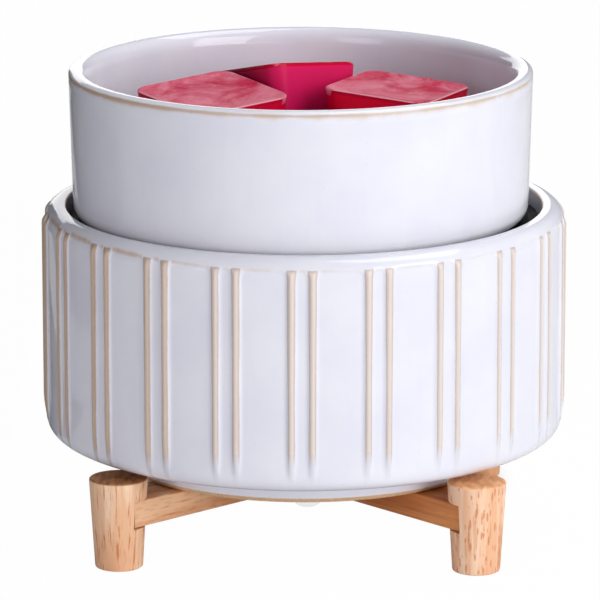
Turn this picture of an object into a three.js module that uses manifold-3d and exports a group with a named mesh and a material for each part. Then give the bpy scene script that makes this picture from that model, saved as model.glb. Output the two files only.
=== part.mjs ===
// Two-way candle warmer: a fluted ceramic drum with a hot plate, a lift-off dish of wax cubes, and a wooden stand.
// Millimetres, +Z up. The origin is on the table, on the axis of the drum, and the legs stand on the diagonals.
import * as THREE from 'three';
import { mergeVertices } from 'three/addons/utils/BufferGeometryUtils.js';
import Module from 'manifold-3d';

const wasm = await Module();
wasm.setup();

// Clearance between a piece and what it sits on or in
const SEAT = 0.3;

// Wooden stand
const LEG_INSET = 4;
const LEG_ABOVE_BRACE = 5.6;
const LEG_PAST_CREASE = 1.8;
const LEG_TOP_RADIUS = 7.7;
const LEG_FOOT_RADIUS = 6.25;
const LEG_EDGE = 0.5;
const BRACE_WIDTH = 12.5;
const BRACE_HEIGHT = 7;
const BRACE_TOP = 18.4;
const NOTCH_PAST_AXIS = 0.4;
const DOWEL_RADIUS = 2.5;
const DOWEL_IN_LEG = 4;
const DOWEL_IN_BRACE = 11;

// Ceramic drum, outside
const DRUM_DIAMETER = 140;
const DRUM_HEIGHT = 69;
const RIM_WIDTH = 6.6;
const RIM_EDGE_ROUND = 1;
const SHOULDER_ROUND = 4.4;
const SHOULDER_FROM = 10;
const BAND_PROUD = 0.4;
const BAND_BLEND = 0.8;
const RIB_PROUD = 0.9;
const RIB_WIDTH = 2.5;
const RIB_SPACING = 5.5;
const RIB_PAIRS = 22;
const RIB_PHASE = 1.7;
const RIB_CREST_SHARE = 0.45;
const RIB_FADE_FROM = 0.2;
const RIB_FADE_TO = 0.7;
const FOOT_BEVEL = 1.2;
const CURVE_WIDTH = 17.5;
const CURVE_HEIGHT = 11.8;
const CURVE_LOW_WIDTH = 8;
const CURVE_LOW_RISE = 4;
const CURVE_TURN_RISE = 1.8;

// Ceramic drum, inside
const WALL = 5.6;
const RECESS_DEPTH = 7;
const DECK_THICKNESS = 4.8;
const DECK_FILLET = 3;
const DECK_WIDTH = 11.4;
const FLOOR_THICKNESS = 5.2;
const FLOOR_SLOPE = 0.6;
const FLOOR_CURVE_WIDTH = 12;
const FLOOR_CURVE_HEIGHT = 8;
const FLOOR_CURVE_DIP = 1.6;
const FOOT_RING_WIDTH = 7.9;
const COVER_LEDGE = 2.6;
const COVER_DEPTH = 5;

// Heating stack under the hot plate
const PLATE_THICKNESS = 1.8;
const PLATE_GAP = 0.8;
const PLATE_EDGE = 0.6;
const GASKET_THICKNESS = 0.8;
const GASKET_WIDTH = 7;
const BOSS_RADIUS = 4.2;
const BOSS_HEIGHT = 3;
const POST_INSET = 4.4;
const POST_FLATS = 6;
const POST_BORE = 3.6;
const THREAD_RADIUS = 1.5;
const THREAD_LENGTH = 8;
const STUD_INSET = 6.5;
const STUD_RADIUS = 2;
const STUD_COUNT = 3;
const POST_START = 30;
const ELEMENT_INSET = 5;
const ELEMENT_THICKNESS = 1.6;
const ELEMENT_MARGIN = 4;
const PAD_THICKNESS = 3;
const CLAMP_THICKNESS = 1.2;
const NUT_FLATS = 7;
const NUT_HEIGHT = 3.2;
const FUSE_RADIUS = 2;
const FUSE_LENGTH = 12;
const CLIP_THICKNESS = 0.8;
const CLIP_WIDTH = 6;
const CLIP_MOUTH = 50;
const CLIP_FOOT = 5;
const LEAD_RADIUS = 0.9;
const CONNECTOR_RADIUS = 3.2;
const CONNECTOR_TIP_RADIUS = 2.2;
const CONNECTOR_NOSE = 1.5;
const CONNECTOR_LENGTH = 15;
const CONNECTOR_BASE = 38;
const CONNECTOR_GRIP = 6;
const FUSE_CAP_X = -14;
const FUSE_CAP_Y = -8;
const ELEMENT_CAP_X = 8;
const ELEMENT_CAP_Y = 8;
const TERMINAL_INSET = 1.6;
const LEAD_BEND = 5;
const LEAD_DROP = 14;

// Bottom cover, its screws, the clear feet and the cord bush
const COVER_THICKNESS = 1.5;
const VENT_COUNT = 12;
const VENT_LENGTH = 13;
const VENT_WIDTH = 3;
const VENT_INSET = 12.5;
const SCREW_HEAD_RADIUS = 3;
const SCREW_HEAD_HEIGHT = 1.7;
const SCREW_HEAD_DOME = 1;
const SCREW_REACH = 7;
const BUMPER_DIAMETER = 7.4;
const BUMPER_HEIGHT = 2;
const BUMPER_EDGE = 0.3;
const BUMPER_TURN = 3.2;
const BUMPER_SEAT = 0.1;
const BUSH_HEIGHT = 24.5;
const BUSH_FLANGE_RADIUS = 4.8;
const BUSH_FLANGE = 0.8;
const BUSH_CHAMFER = 0.5;
const BUSH_NECK_RADIUS = 3.5;
const BUSH_BORE = 5;

// Dish
const DISH_GAP = 1.9;
const DISH_HEIGHT = 40.1;
const DISH_TAPER = 0.9;
const DISH_WALL = 5.2;
const DISH_FLOOR = 6.2;
const DISH_CORNER = 4;
const DISH_INNER_CORNER = 9;
const DISH_SHIFT = -0.9;

// Wax cubes
const WAX_TOP = 31;
const WAX_BASE = 26;
const WAX_HEIGHT = 25.5;
const WAX_CORNER = 4.5;
const WAX_BASE_ROUND = 3.5;
const WAX_RIM_ROUND = 0.6;
const WAX_DIP = 0.7;
const WAX_DIP_INSET = 5;
const LEFT_CUBE_X = -24.6;
const LEFT_CUBE_Y = 1.8;
const RIGHT_CUBE_X = 23;
const RIGHT_CUBE_Y = 12.6;
const REAR_CUBE_X = -5.4;
const REAR_CUBE_Y = 22.6;

// Radii that follow from those sizes
const DRUM_RADIUS = DRUM_DIAMETER / 2;
const PANEL_RADIUS = DRUM_RADIUS - RIB_PROUD;
const INNER_RIM_RADIUS = DRUM_RADIUS - RIM_WIDTH;
const DECK_RADIUS = INNER_RIM_RADIUS - DECK_WIDTH;
const CREASE_RADIUS = PANEL_RADIUS - CURVE_WIDTH;
const FOOT_RADIUS = CREASE_RADIUS - FOOT_BEVEL;
const COVER_OPENING_RADIUS = FOOT_RADIUS - FOOT_RING_WIDTH;
const POST_CIRCLE = COVER_OPENING_RADIUS - COVER_LEDGE - POST_INSET;
const VENT_CIRCLE = POST_CIRCLE - VENT_INSET;
const ELEMENT_RADIUS = POST_CIRCLE - ELEMENT_INSET;
const TERMINAL_CIRCLE = ELEMENT_RADIUS - TERMINAL_INSET;
const PAD_RADIUS = ELEMENT_RADIUS - ELEMENT_MARGIN;
const STUD_CIRCLE = PAD_RADIUS - STUD_INSET;
const DISH_RADIUS = INNER_RIM_RADIUS - DISH_GAP;
const LEG_CIRCLE = DRUM_RADIUS - LEG_INSET;

// Levels that follow from those sizes
const LEG_HEIGHT = BRACE_TOP + LEG_ABOVE_BRACE;
const CREASE_LEVEL = LEG_HEIGHT - LEG_PAST_CREASE;
const DRUM_BASE = BRACE_TOP + SEAT;
const RIM_TOP = DRUM_BASE + DRUM_HEIGHT;
const LEDGE = RIM_TOP - RECESS_DEPTH;
const PLATE_BASE = LEDGE + GASKET_THICKNESS + 2 * SEAT;
const PLATE_TOP = PLATE_BASE + PLATE_THICKNESS;
const COVER_LEDGE_LEVEL = DRUM_BASE + COVER_DEPTH;
const COVER_TOP = COVER_LEDGE_LEVEL - SEAT;
const COVER_BASE = COVER_TOP - COVER_THICKNESS;
const ELEMENT_TOP = PLATE_BASE - SEAT;
const PAD_TOP = ELEMENT_TOP - ELEMENT_THICKNESS - SEAT;
const CLAMP_TOP = PAD_TOP - PAD_THICKNESS - SEAT;
const CLAMP_BASE = CLAMP_TOP - CLAMP_THICKNESS;
const NUT_TOP = CLAMP_BASE - SEAT;
const STUD_END = NUT_TOP - NUT_HEIGHT - 1;
const DISH_BASE = PLATE_TOP + SEAT;
const DISH_FLOOR_LEVEL = DISH_BASE + DISH_FLOOR;

// How many faces the round forms have
const ROUND = 60;
const INNER_ROUND = 48;
const HIDDEN_ROUND = 30;
const LEG_ROUND = 24;
const SMALL_ROUND = 12;
const BORE_ROUND = 10;
const CURVE_STEPS = 4;
const SHOULDER_STEPS = 3;

const deg = THREE.MathUtils.degToRad;
const model = new THREE.Group();

const finishes = {
  glaze: new THREE.MeshStandardMaterial({ color: 0xdfdfea, roughness: 0.12, metalness: 0 }),
  wood: new THREE.MeshStandardMaterial({ color: 0xd0a074, roughness: 0.6, metalness: 0 }),
  blackCoat: new THREE.MeshStandardMaterial({ color: 0x101012, roughness: 0.45, metalness: 0.3 }),
  wax: new THREE.MeshStandardMaterial({ color: 0xb00a3c, roughness: 0.35, metalness: 0 }),
  silicone: new THREE.MeshStandardMaterial({ color: 0xd8d8d2, roughness: 0.3, metalness: 0 }),
  gasket: new THREE.MeshStandardMaterial({ color: 0x7a3a2c, roughness: 0.7, metalness: 0 }),
  mica: new THREE.MeshStandardMaterial({ color: 0xb59a6a, roughness: 0.5, metalness: 0 }),
  felt: new THREE.MeshStandardMaterial({ color: 0xe9e6dc, roughness: 0.95, metalness: 0 }),
  steel: new THREE.MeshStandardMaterial({ color: 0xb4b7ba, roughness: 0.35, metalness: 1 }),
  lead: new THREE.MeshStandardMaterial({ color: 0xf0efe8, roughness: 0.6, metalness: 0 }),
  nylon: new THREE.MeshStandardMaterial({ color: 0xe4dfc8, roughness: 0.5, metalness: 0 }),
  rubber: new THREE.MeshStandardMaterial({ color: 0xe8e8ea, roughness: 0.6, metalness: 0 }),
  coverPaint: new THREE.MeshStandardMaterial({ color: 0x1b1b1d, roughness: 0.55, metalness: 0 }),
};

// Solids: a closed geometry becomes a solid that can be joined or cut
function solid(geometry) {
  const bare = geometry.index ? geometry.toNonIndexed() : geometry.clone();
  bare.deleteAttribute('normal');
  bare.deleteAttribute('uv');
  const merged = mergeVertices(bare, 1e-4);
  return new wasm.Manifold(new wasm.Mesh({
    numProp: 3,
    vertProperties: new Float32Array(merged.attributes.position.array),
    triVerts: new Uint32Array(merged.index.array),
  }));
}

function toGeometry(shape) {
  const mesh = shape.getMesh();
  const geometry = new THREE.BufferGeometry();
  geometry.setAttribute('position', new THREE.BufferAttribute(new Float32Array(mesh.vertProperties), 3));
  geometry.setIndex(new THREE.BufferAttribute(new Uint32Array(mesh.triVerts), 1));
  return geometry;
}

function joined(shapes) {
  return shapes.reduce((sum, shape) => sum.add(shape));
}

function cut(shape, tools) {
  return tools.reduce((rest, tool) => rest.subtract(tool), shape);
}

function addPart(name, shape, finish, parent = model) {
  const geometry = shape.getMesh ? toGeometry(shape) : shape;
  geometry.computeVertexNormals();
  const mesh = new THREE.Mesh(geometry, finish);
  mesh.name = name;
  parent.add(mesh);
  return mesh;
}

// Basic forms, all standing on +Z
function revolve(points, segments = ROUND) {
  const geometry = new THREE.LatheGeometry(points.map(([r, z]) => new THREE.Vector2(r, z)), segments);
  geometry.rotateX(Math.PI / 2);
  return solid(geometry);
}

function disc(radius, base, height, segments = ROUND) {
  return revolve([[0, base], [radius, base], [radius, base + height], [0, base + height]], segments);
}

function block(width, depth, height, x, y, z) {
  const geometry = new THREE.BoxGeometry(width, depth, height);
  geometry.translate(x, y, z);
  return solid(geometry);
}

function prism(shape, base, height) {
  const geometry = new THREE.ExtrudeGeometry(shape, { depth: height, bevelEnabled: false, curveSegments: 5 });
  geometry.translate(0, 0, base);
  return solid(geometry);
}

function hexagon(flats) {
  const corner = flats / 2 / Math.cos(Math.PI / 6);
  const points = [];
  for (let i = 0; i < 6; i += 1) {
    points.push(new THREE.Vector2(corner * Math.cos(i * Math.PI / 3), corner * Math.sin(i * Math.PI / 3)));
  }
  return new THREE.Shape(points);
}

// Places one shape round the axis, count times, the first at the given angle from +X
function aroundAxis(shape, radius, count, start = 0) {
  const copies = [];
  for (let i = 0; i < count; i += 1) {
    const angle = start + (i * 360) / count;
    copies.push(shape.translate([radius, 0, 0]).rotate([0, 0, angle]));
  }
  return copies;
}

// Adds one node for each copy round the axis, named with its number
function addAround(name, shape, radius, finish) {
  aroundAxis(shape, radius, STUD_COUNT, POST_START).forEach((copy, i) => addPart(`${name}_${i + 1}`, copy, finish));
}

function cubic(from, leaving, arriving, to, steps) {
  const ends = [from, leaving, arriving, to].map((p) => new THREE.Vector2(...p));
  return new THREE.CubicBezierCurve(...ends).getPoints(steps).map((p) => [p.x, p.y]);
}

function quadratic(from, control, to, steps) {
  const curve = new THREE.QuadraticBezierCurve(
    new THREE.Vector2(...from), new THREE.Vector2(...control), new THREE.Vector2(...to));
  return curve.getPoints(steps).map((p) => [p.x, p.y]);
}

// An arc of a profile about (r, z), from one angle to another in degrees
function arc(r, z, radius, from, to, steps) {
  const points = [];
  for (let i = 0; i <= steps; i += 1) {
    const angle = deg(from + ((to - from) * i) / steps);
    points.push([r + radius * Math.cos(angle), z + radius * Math.sin(angle)]);
  }
  return points;
}

// Stand
const legRadiusAt = (z) => LEG_FOOT_RADIUS + ((LEG_TOP_RADIUS - LEG_FOOT_RADIUS) * z) / LEG_HEIGHT;
const braceBase = BRACE_TOP - BRACE_HEIGHT;
const braceMiddle = BRACE_TOP - BRACE_HEIGHT / 2;
const notchFace = LEG_CIRCLE + NOTCH_PAST_AXIS;
const braceEnd = notchFace - SEAT;

function dowel(radius, from, to) {
  const geometry = new THREE.CylinderGeometry(radius, radius, to - from, SMALL_ROUND);
  geometry.rotateZ(Math.PI / 2);
  geometry.translate((from + to) / 2, 0, braceMiddle);
  return solid(geometry);
}

function legSolid() {
  const leg = revolve([
    [0, 0],
    [LEG_FOOT_RADIUS - LEG_EDGE, 0],
    [legRadiusAt(LEG_EDGE), LEG_EDGE],
    [legRadiusAt(LEG_HEIGHT - LEG_EDGE), LEG_HEIGHT - LEG_EDGE],
    [LEG_TOP_RADIUS - LEG_EDGE, LEG_HEIGHT],
    [0, LEG_HEIGHT],
  ], LEG_ROUND).translate([LEG_CIRCLE, 0, 0]);
  const notchLength = 2 * LEG_TOP_RADIUS;
  const notch = block(notchLength, 3 * LEG_TOP_RADIUS, BRACE_HEIGHT + 2 * SEAT,
    notchFace - notchLength / 2, 0, braceMiddle);
  const hole = dowel(DOWEL_RADIUS + SEAT, notchFace - 1, notchFace + DOWEL_IN_LEG + SEAT);
  return cut(leg, [notch, hole]);
}

function braceSolid(lapFromTop) {
  const brace = block(2 * braceEnd, BRACE_WIDTH, BRACE_HEIGHT, 0, 0, braceMiddle);
  const lapWidth = BRACE_WIDTH + 2 * SEAT;
  const lapShift = (BRACE_HEIGHT / 2 - SEAT / 2) * (lapFromTop ? 1 : -1);
  const lap = block(lapWidth, 2 * BRACE_WIDTH, BRACE_HEIGHT, 0, 0, braceMiddle + lapShift);
  const hole = dowel(DOWEL_RADIUS + SEAT, braceEnd - DOWEL_IN_BRACE - SEAT, braceEnd + 1);
  return cut(brace, [lap, hole, hole.rotate([0, 0, 180])]);
}

function addStand() {
  const corners = [['leg_rear_right', 45], ['leg_rear_left', 135], ['leg_front_left', 225], ['leg_front_right', 315]];
  const leg = legSolid();
  for (const [name, angle] of corners) {
    addPart(name, leg.rotate([0, 0, angle]), finishes.wood);
  }
  addPart('brace_lower', braceSolid(true).rotate([0, 0, 45]), finishes.wood);
  addPart('brace_upper', braceSolid(false).rotate([0, 0, -45]), finishes.wood);
  const peg = dowel(DOWEL_RADIUS, braceEnd - DOWEL_IN_BRACE, notchFace + DOWEL_IN_LEG);
  for (const [name, angle] of corners) {
    addPart(name.replace('leg', 'dowel'), peg.rotate([0, 0, angle]), finishes.wood);
  }
}

// Ceramic drum. Each row of the outside is [radius, level, how far the ribs stand proud there].
function drumRows() {
  const lower = cubic([CREASE_RADIUS, CREASE_LEVEL],
    [CREASE_RADIUS + CURVE_LOW_WIDTH, CREASE_LEVEL + CURVE_LOW_RISE],
    [PANEL_RADIUS, CREASE_LEVEL + CURVE_TURN_RISE],
    [PANEL_RADIUS, DRUM_BASE + CURVE_HEIGHT], CURVE_STEPS);
  const proudAt = (share) => (
    THREE.MathUtils.clamp((share - RIB_FADE_FROM) / (RIB_FADE_TO - RIB_FADE_FROM), 0, 1));
  const shoulder = arc(PANEL_RADIUS + BAND_PROUD - SHOULDER_ROUND, RIM_TOP - SHOULDER_ROUND,
    SHOULDER_ROUND, SHOULDER_FROM, 90, SHOULDER_STEPS);
  const edge = arc(INNER_RIM_RADIUS + RIM_EDGE_ROUND, RIM_TOP - RIM_EDGE_ROUND, RIM_EDGE_ROUND, 90, 140, 1);
  return [
    [FOOT_RADIUS, DRUM_BASE, 0],
    [CREASE_RADIUS, DRUM_BASE + FOOT_BEVEL, 0],
    ...lower.map(([r, z], i) => [r, z, RIB_PROUD * proudAt(i / CURVE_STEPS)]),
    [PANEL_RADIUS, shoulder[0][1] - BAND_BLEND, RIB_PROUD],
    ...[...shoulder, ...edge].map(([r, z]) => [r, z, 0]),
  ];
}

// The angles round the drum where its surface is measured, each with how much of the rib's height stands there
function drumColumns() {
  const pitch = 360 / RIB_PAIRS;
  const perMillimetre = 360 / (Math.PI * DRUM_DIAMETER);
  const halfSpacing = (RIB_SPACING / 2) * perMillimetre;
  const edge = (RIB_WIDTH / 2) * perMillimetre;
  const shoulder = edge * RIB_CREST_SHARE;
  const columns = [];
  for (let pair = 0; pair < RIB_PAIRS; pair += 1) {
    const centre = RIB_PHASE + pair * pitch;
    for (const rib of [-halfSpacing, halfSpacing]) {
      columns.push([centre + rib - edge, 0], [centre + rib - shoulder, 1]);
      columns.push([centre + rib + shoulder, 1], [centre + rib + edge, 0]);
    }
    columns.push([centre + pitch / 2, 0]);
  }
  return columns;
}

function flutedSolid() {
  const rows = drumRows();
  const columns = drumColumns();
  const positions = [];
  for (const [radius, level, proud] of rows) {
    for (const [angle, share] of columns) {
      const r = radius + proud * share;
      positions.push(r * Math.sin(deg(angle)), -r * Math.cos(deg(angle)), level);
    }
  }
  const around = columns.length;
  const bottom = positions.push(0, 0, rows[0][1]) / 3 - 1;
  const top = positions.push(0, 0, rows[rows.length - 1][1]) / 3 - 1;
  const faces = [];
  for (let j = 0; j < around; j += 1) {
    const next = (j + 1) % around;
    for (let i = 0; i < rows.length - 1; i += 1) {
      const a = i * around;
      const b = a + around;
      faces.push(a + j, a + next, b + next, a + j, b + next, b + j);
    }
    const last = (rows.length - 1) * around;
    faces.push(bottom, next, j, top, last + j, last + next);
  }
  const geometry = new THREE.BufferGeometry();
  geometry.setAttribute('position', new THREE.Float32BufferAttribute(positions, 3));
  geometry.setIndex(faces);
  return solid(geometry);
}

// The space inside the drum: cover opening, floor opening, room, deck opening and plate recess
function drumHollow() {
  const wallRadius = PANEL_RADIUS - WALL;
  const floorLevel = COVER_LEDGE_LEVEL + FLOOR_THICKNESS;
  const floorOpening = COVER_OPENING_RADIUS - COVER_LEDGE;
  const deckBase = LEDGE - DECK_THICKNESS;
  const below = DRUM_BASE - COVER_DEPTH;
  const above = RIM_TOP + RECESS_DEPTH;
  return revolve([
    [0, below],
    [COVER_OPENING_RADIUS, below],
    [COVER_OPENING_RADIUS, COVER_LEDGE_LEVEL],
    [floorOpening, COVER_LEDGE_LEVEL],
    [floorOpening, floorLevel],
    ...quadratic([wallRadius - FLOOR_CURVE_WIDTH, floorLevel + FLOOR_SLOPE],
      [wallRadius, floorLevel + FLOOR_CURVE_DIP], [wallRadius, floorLevel + FLOOR_CURVE_HEIGHT], 3),
    [wallRadius, deckBase - DECK_FILLET],
    [wallRadius - DECK_FILLET, deckBase],
    [DECK_RADIUS, deckBase],
    [DECK_RADIUS, LEDGE],
    [INNER_RIM_RADIUS, LEDGE],
    [INNER_RIM_RADIUS, above],
    [0, above],
  ], INNER_ROUND);
}

// The cord bush sits in the panel between two pairs of ribs at the back
const bushAngle = RIB_PHASE + (RIB_PAIRS / 2 + 0.5) * (360 / RIB_PAIRS);
const bushLevel = DRUM_BASE + BUSH_HEIGHT;

function outwardAtBack(shape) {
  return shape.rotate([90, 0, 0]).rotate([0, 0, bushAngle]).translate([0, 0, bushLevel]);
}

function bushSolid() {
  const outer = PANEL_RADIUS + SEAT;
  const inner = Math.sqrt((PANEL_RADIUS - WALL) ** 2 - BUSH_FLANGE_RADIUS ** 2) - 2 * SEAT;
  return outwardAtBack(revolve([
    [BUSH_BORE / 2, inner - BUSH_FLANGE],
    [BUSH_FLANGE_RADIUS - BUSH_CHAMFER, inner - BUSH_FLANGE],
    [BUSH_FLANGE_RADIUS, inner],
    [BUSH_NECK_RADIUS, inner],
    [BUSH_NECK_RADIUS, outer],
    [BUSH_FLANGE_RADIUS, outer],
    [BUSH_FLANGE_RADIUS - BUSH_CHAMFER, outer + BUSH_FLANGE],
    [BUSH_BORE / 2, outer + BUSH_FLANGE],
    [BUSH_BORE / 2, inner - BUSH_FLANGE],
  ], SMALL_ROUND));
}

function addDrum() {
  const bushHole = outwardAtBack(disc(BUSH_NECK_RADIUS + SEAT, DRUM_RADIUS / 2, DRUM_RADIUS, SMALL_ROUND));
  addPart('ceramic_body', cut(flutedSolid(), [drumHollow(), bushHole]), finishes.glaze);
  addPart('cord_grommet', bushSolid(), finishes.rubber);
}

// Hot plate with its bosses for the posts and its studs for the clamp
function addHotPlate() {
  const radius = INNER_RIM_RADIUS - PLATE_GAP;
  const plate = revolve([
    [0, PLATE_BASE],
    [radius, PLATE_BASE],
    ...arc(radius - PLATE_EDGE, PLATE_TOP - PLATE_EDGE, PLATE_EDGE, 0, 90, 2),
    [0, PLATE_TOP],
  ]);
  const sink = PLATE_THICKNESS / 2;
  const boss = disc(BOSS_RADIUS, PLATE_BASE - BOSS_HEIGHT, BOSS_HEIGHT + sink, SMALL_ROUND);
  const thread = disc(THREAD_RADIUS, PLATE_BASE - BOSS_HEIGHT - THREAD_LENGTH, THREAD_LENGTH + sink, BORE_ROUND);
  const stud = disc(STUD_RADIUS, STUD_END, PLATE_BASE - STUD_END + sink, SMALL_ROUND);
  addPart('hot_plate', joined([
    plate,
    ...aroundAxis(boss.add(thread), POST_CIRCLE, STUD_COUNT, POST_START),
    ...aroundAxis(stud, STUD_CIRCLE, STUD_COUNT, POST_START),
  ]), finishes.blackCoat);
  const gasketOuter = INNER_RIM_RADIUS - PLATE_GAP;
  const gasketBase = LEDGE + SEAT;
  addPart('plate_gasket', revolve([
    [gasketOuter - GASKET_WIDTH, gasketBase],
    [gasketOuter, gasketBase],
    [gasketOuter, gasketBase + GASKET_THICKNESS],
    [gasketOuter - GASKET_WIDTH, gasketBase + GASKET_THICKNESS],
    [gasketOuter - GASKET_WIDTH, gasketBase],
  ], HIDDEN_ROUND), finishes.gasket);
}

function pierced(radius, top, thickness) {
  const hole = disc(STUD_RADIUS + SEAT, top - thickness - 1, thickness + 2, BORE_ROUND);
  const sheet = disc(radius, top - thickness, thickness, HIDDEN_ROUND);
  return cut(sheet, aroundAxis(hole, STUD_CIRCLE, STUD_COUNT, POST_START));
}

function addHeater() {
  addPart('heating_element', pierced(ELEMENT_RADIUS, ELEMENT_TOP, ELEMENT_THICKNESS), finishes.mica);
  addPart('insulation_pad', pierced(PAD_RADIUS, PAD_TOP, PAD_THICKNESS), finishes.felt);
  addPart('clamp_plate', pierced(PAD_RADIUS, CLAMP_TOP, CLAMP_THICKNESS), finishes.steel);
  const bore = disc(STUD_RADIUS + SEAT, NUT_TOP - NUT_HEIGHT - 1, NUT_HEIGHT + 2, BORE_ROUND);
  const nut = prism(hexagon(NUT_FLATS), NUT_TOP - NUT_HEIGHT, NUT_HEIGHT).subtract(bore);
  addAround('clamp_nut', nut, STUD_CIRCLE, finishes.steel);
  const postTop = PLATE_BASE - BOSS_HEIGHT - SEAT;
  const postBase = COVER_TOP + SEAT;
  const postBore = disc(POST_BORE / 2, postBase - 1, postTop - postBase + 2, BORE_ROUND);
  const post = prism(hexagon(POST_FLATS), postBase, postTop - postBase).subtract(postBore);
  addAround('spacer_post', post, POST_CIRCLE, finishes.steel);
}

// Thermal fuse across the underside of the clamp plate, in a folded clip
const fuseLevel = CLAMP_BASE - 2 * SEAT - CLIP_THICKNESS - FUSE_RADIUS;

function addFuse() {
  const fuse = new THREE.CylinderGeometry(FUSE_RADIUS, FUSE_RADIUS, FUSE_LENGTH, SMALL_ROUND);
  fuse.rotateZ(Math.PI / 2);
  addPart('thermal_fuse', solid(fuse).translate([0, 0, fuseLevel]), finishes.lead);
  const inner = FUSE_RADIUS + SEAT;
  const outer = inner + CLIP_THICKNESS;
  const section = new THREE.Shape();
  section.absarc(0, 0, outer, deg(-90 + CLIP_MOUTH), deg(270 - CLIP_MOUTH), false);
  section.absarc(0, 0, inner, deg(270 - CLIP_MOUTH), deg(-90 + CLIP_MOUTH), true);
  const clip = prism(section, -CLIP_WIDTH / 2, CLIP_WIDTH).rotate([90, 0, 90]).translate([0, 0, fuseLevel]);
  const foot = block(CLIP_WIDTH, CLIP_FOOT, CLIP_THICKNESS, 0, 0, CLAMP_BASE - SEAT - CLIP_THICKNESS / 2);
  addPart('fuse_clip', clip.add(foot), finishes.steel);
}

function wire(points, steps) {
  const path = new THREE.CatmullRomCurve3(points.map((p) => new THREE.Vector3(...p)));
  const section = new THREE.Shape();
  section.absarc(0, 0, LEAD_RADIUS, 0, 2 * Math.PI, false);
  const options = { extrudePath: path, steps, curveSegments: 3, bevelEnabled: false };
  return solid(new THREE.ExtrudeGeometry(section, options));
}

// The mains joints hang under the fuse, each wire ending inside its cap
function addLeads() {
  const terminalLevel = ELEMENT_TOP - ELEMENT_THICKNESS - SEAT;
  const capTop = CONNECTOR_BASE + CONNECTOR_LENGTH;
  const insideCap = capTop - CONNECTOR_GRIP;
  const fuseEnd = FUSE_LENGTH / 2 + SEAT;
  const fuseCap = [FUSE_CAP_X, FUSE_CAP_Y];
  const elementCap = [ELEMENT_CAP_X, ELEMENT_CAP_Y];
  addPart('lead_element_to_fuse', wire([
    [TERMINAL_CIRCLE, 0, terminalLevel],
    [TERMINAL_CIRCLE, 0, fuseLevel + LEAD_BEND],
    [TERMINAL_CIRCLE - LEAD_BEND, 0, fuseLevel],
    [fuseEnd + LEAD_BEND, 0, fuseLevel],
    [fuseEnd, 0, fuseLevel],
  ], 12), finishes.lead);
  addPart('lead_fuse_to_connector', wire([
    [-fuseEnd, 0, fuseLevel],
    [-fuseEnd - LEAD_BEND, 0, fuseLevel],
    [FUSE_CAP_X, FUSE_CAP_Y / 2, fuseLevel - LEAD_BEND],
    [...fuseCap, capTop + LEAD_BEND],
    [...fuseCap, capTop + 1],
    [...fuseCap, insideCap],
  ], 14), finishes.lead);
  addPart('lead_element_to_connector', wire([
    [0, TERMINAL_CIRCLE, terminalLevel],
    [0, TERMINAL_CIRCLE, fuseLevel],
    [ELEMENT_CAP_X / 2, (TERMINAL_CIRCLE + ELEMENT_CAP_Y) / 2, capTop + LEAD_DROP],
    [...elementCap, capTop + LEAD_BEND],
    [...elementCap, capTop + 1],
    [...elementCap, insideCap],
  ], 14), finishes.lead);
  const bore = disc(LEAD_RADIUS + SEAT, insideCap - SEAT, CONNECTOR_LENGTH, BORE_ROUND);
  const cap = revolve([
    [0, CONNECTOR_BASE],
    [CONNECTOR_TIP_RADIUS, CONNECTOR_BASE],
    [CONNECTOR_RADIUS, CONNECTOR_BASE + CONNECTOR_NOSE],
    [CONNECTOR_RADIUS, capTop],
    [0, capTop],
  ], SMALL_ROUND).subtract(bore);
  addPart('wire_connector_fuse', cap.translate([...fuseCap, 0]), finishes.nylon);
  addPart('wire_connector_element', cap.translate([...elementCap, 0]), finishes.nylon);
}

// Cover in the foot opening, with a ring of vent slots and three screws into the posts
function addCover() {
  const radius = COVER_OPENING_RADIUS - SEAT;
  const slot = block(VENT_LENGTH, VENT_WIDTH, COVER_THICKNESS + 2, 0, 0, COVER_TOP - COVER_THICKNESS / 2);
  const hole = disc(THREAD_RADIUS + SEAT, COVER_BASE - 1, COVER_THICKNESS + 2, BORE_ROUND);
  const plate = disc(radius, COVER_BASE, COVER_THICKNESS, INNER_ROUND);
  addPart('bottom_cover', cut(plate, [
    ...aroundAxis(slot, VENT_CIRCLE, VENT_COUNT, 0),
    ...aroundAxis(hole, POST_CIRCLE, STUD_COUNT, POST_START),
  ]), finishes.coverPaint);
  const headTop = COVER_BASE - SEAT;
  const headBase = headTop - SCREW_HEAD_HEIGHT;
  const screw = revolve([
    [0, headBase],
    ...arc(SCREW_HEAD_RADIUS - SCREW_HEAD_DOME, headBase + SCREW_HEAD_DOME, SCREW_HEAD_DOME, -90, 0, 2),
    [SCREW_HEAD_RADIUS, headTop],
    [THREAD_RADIUS, headTop],
    [THREAD_RADIUS, COVER_TOP + SCREW_REACH],
    [0, COVER_TOP + SCREW_REACH],
  ], SMALL_ROUND);
  addAround('cover_screw', screw, POST_CIRCLE, finishes.steel);
}

// Each bumper is a low dome, stuck by its flat side to the middle of the foot ring
function addBumpers() {
  const circle = FOOT_RADIUS - FOOT_RING_WIDTH / 2;
  const radius = BUMPER_DIAMETER / 2;
  const top = DRUM_BASE - BUMPER_SEAT;
  const bulge = BUMPER_HEIGHT - BUMPER_EDGE;
  const domeRadius = (radius ** 2 + bulge ** 2) / (2 * bulge);
  const rimAngle = THREE.MathUtils.radToDeg(Math.asin(radius / domeRadius));
  const bumper = revolve([
    ...arc(0, top - BUMPER_HEIGHT + domeRadius, domeRadius, -90, rimAngle - 90, 3),
    [radius, top],
    [0, top],
  ], SMALL_ROUND);
  const places = [['bumper_right', 0], ['bumper_rear', 90], ['bumper_left', 180], ['bumper_front', 270]];
  for (const [name, angle] of places) {
    addPart(name, bumper.translate([circle, 0, 0]).rotate([0, 0, angle + BUMPER_TURN]), finishes.silicone);
  }
}

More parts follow.
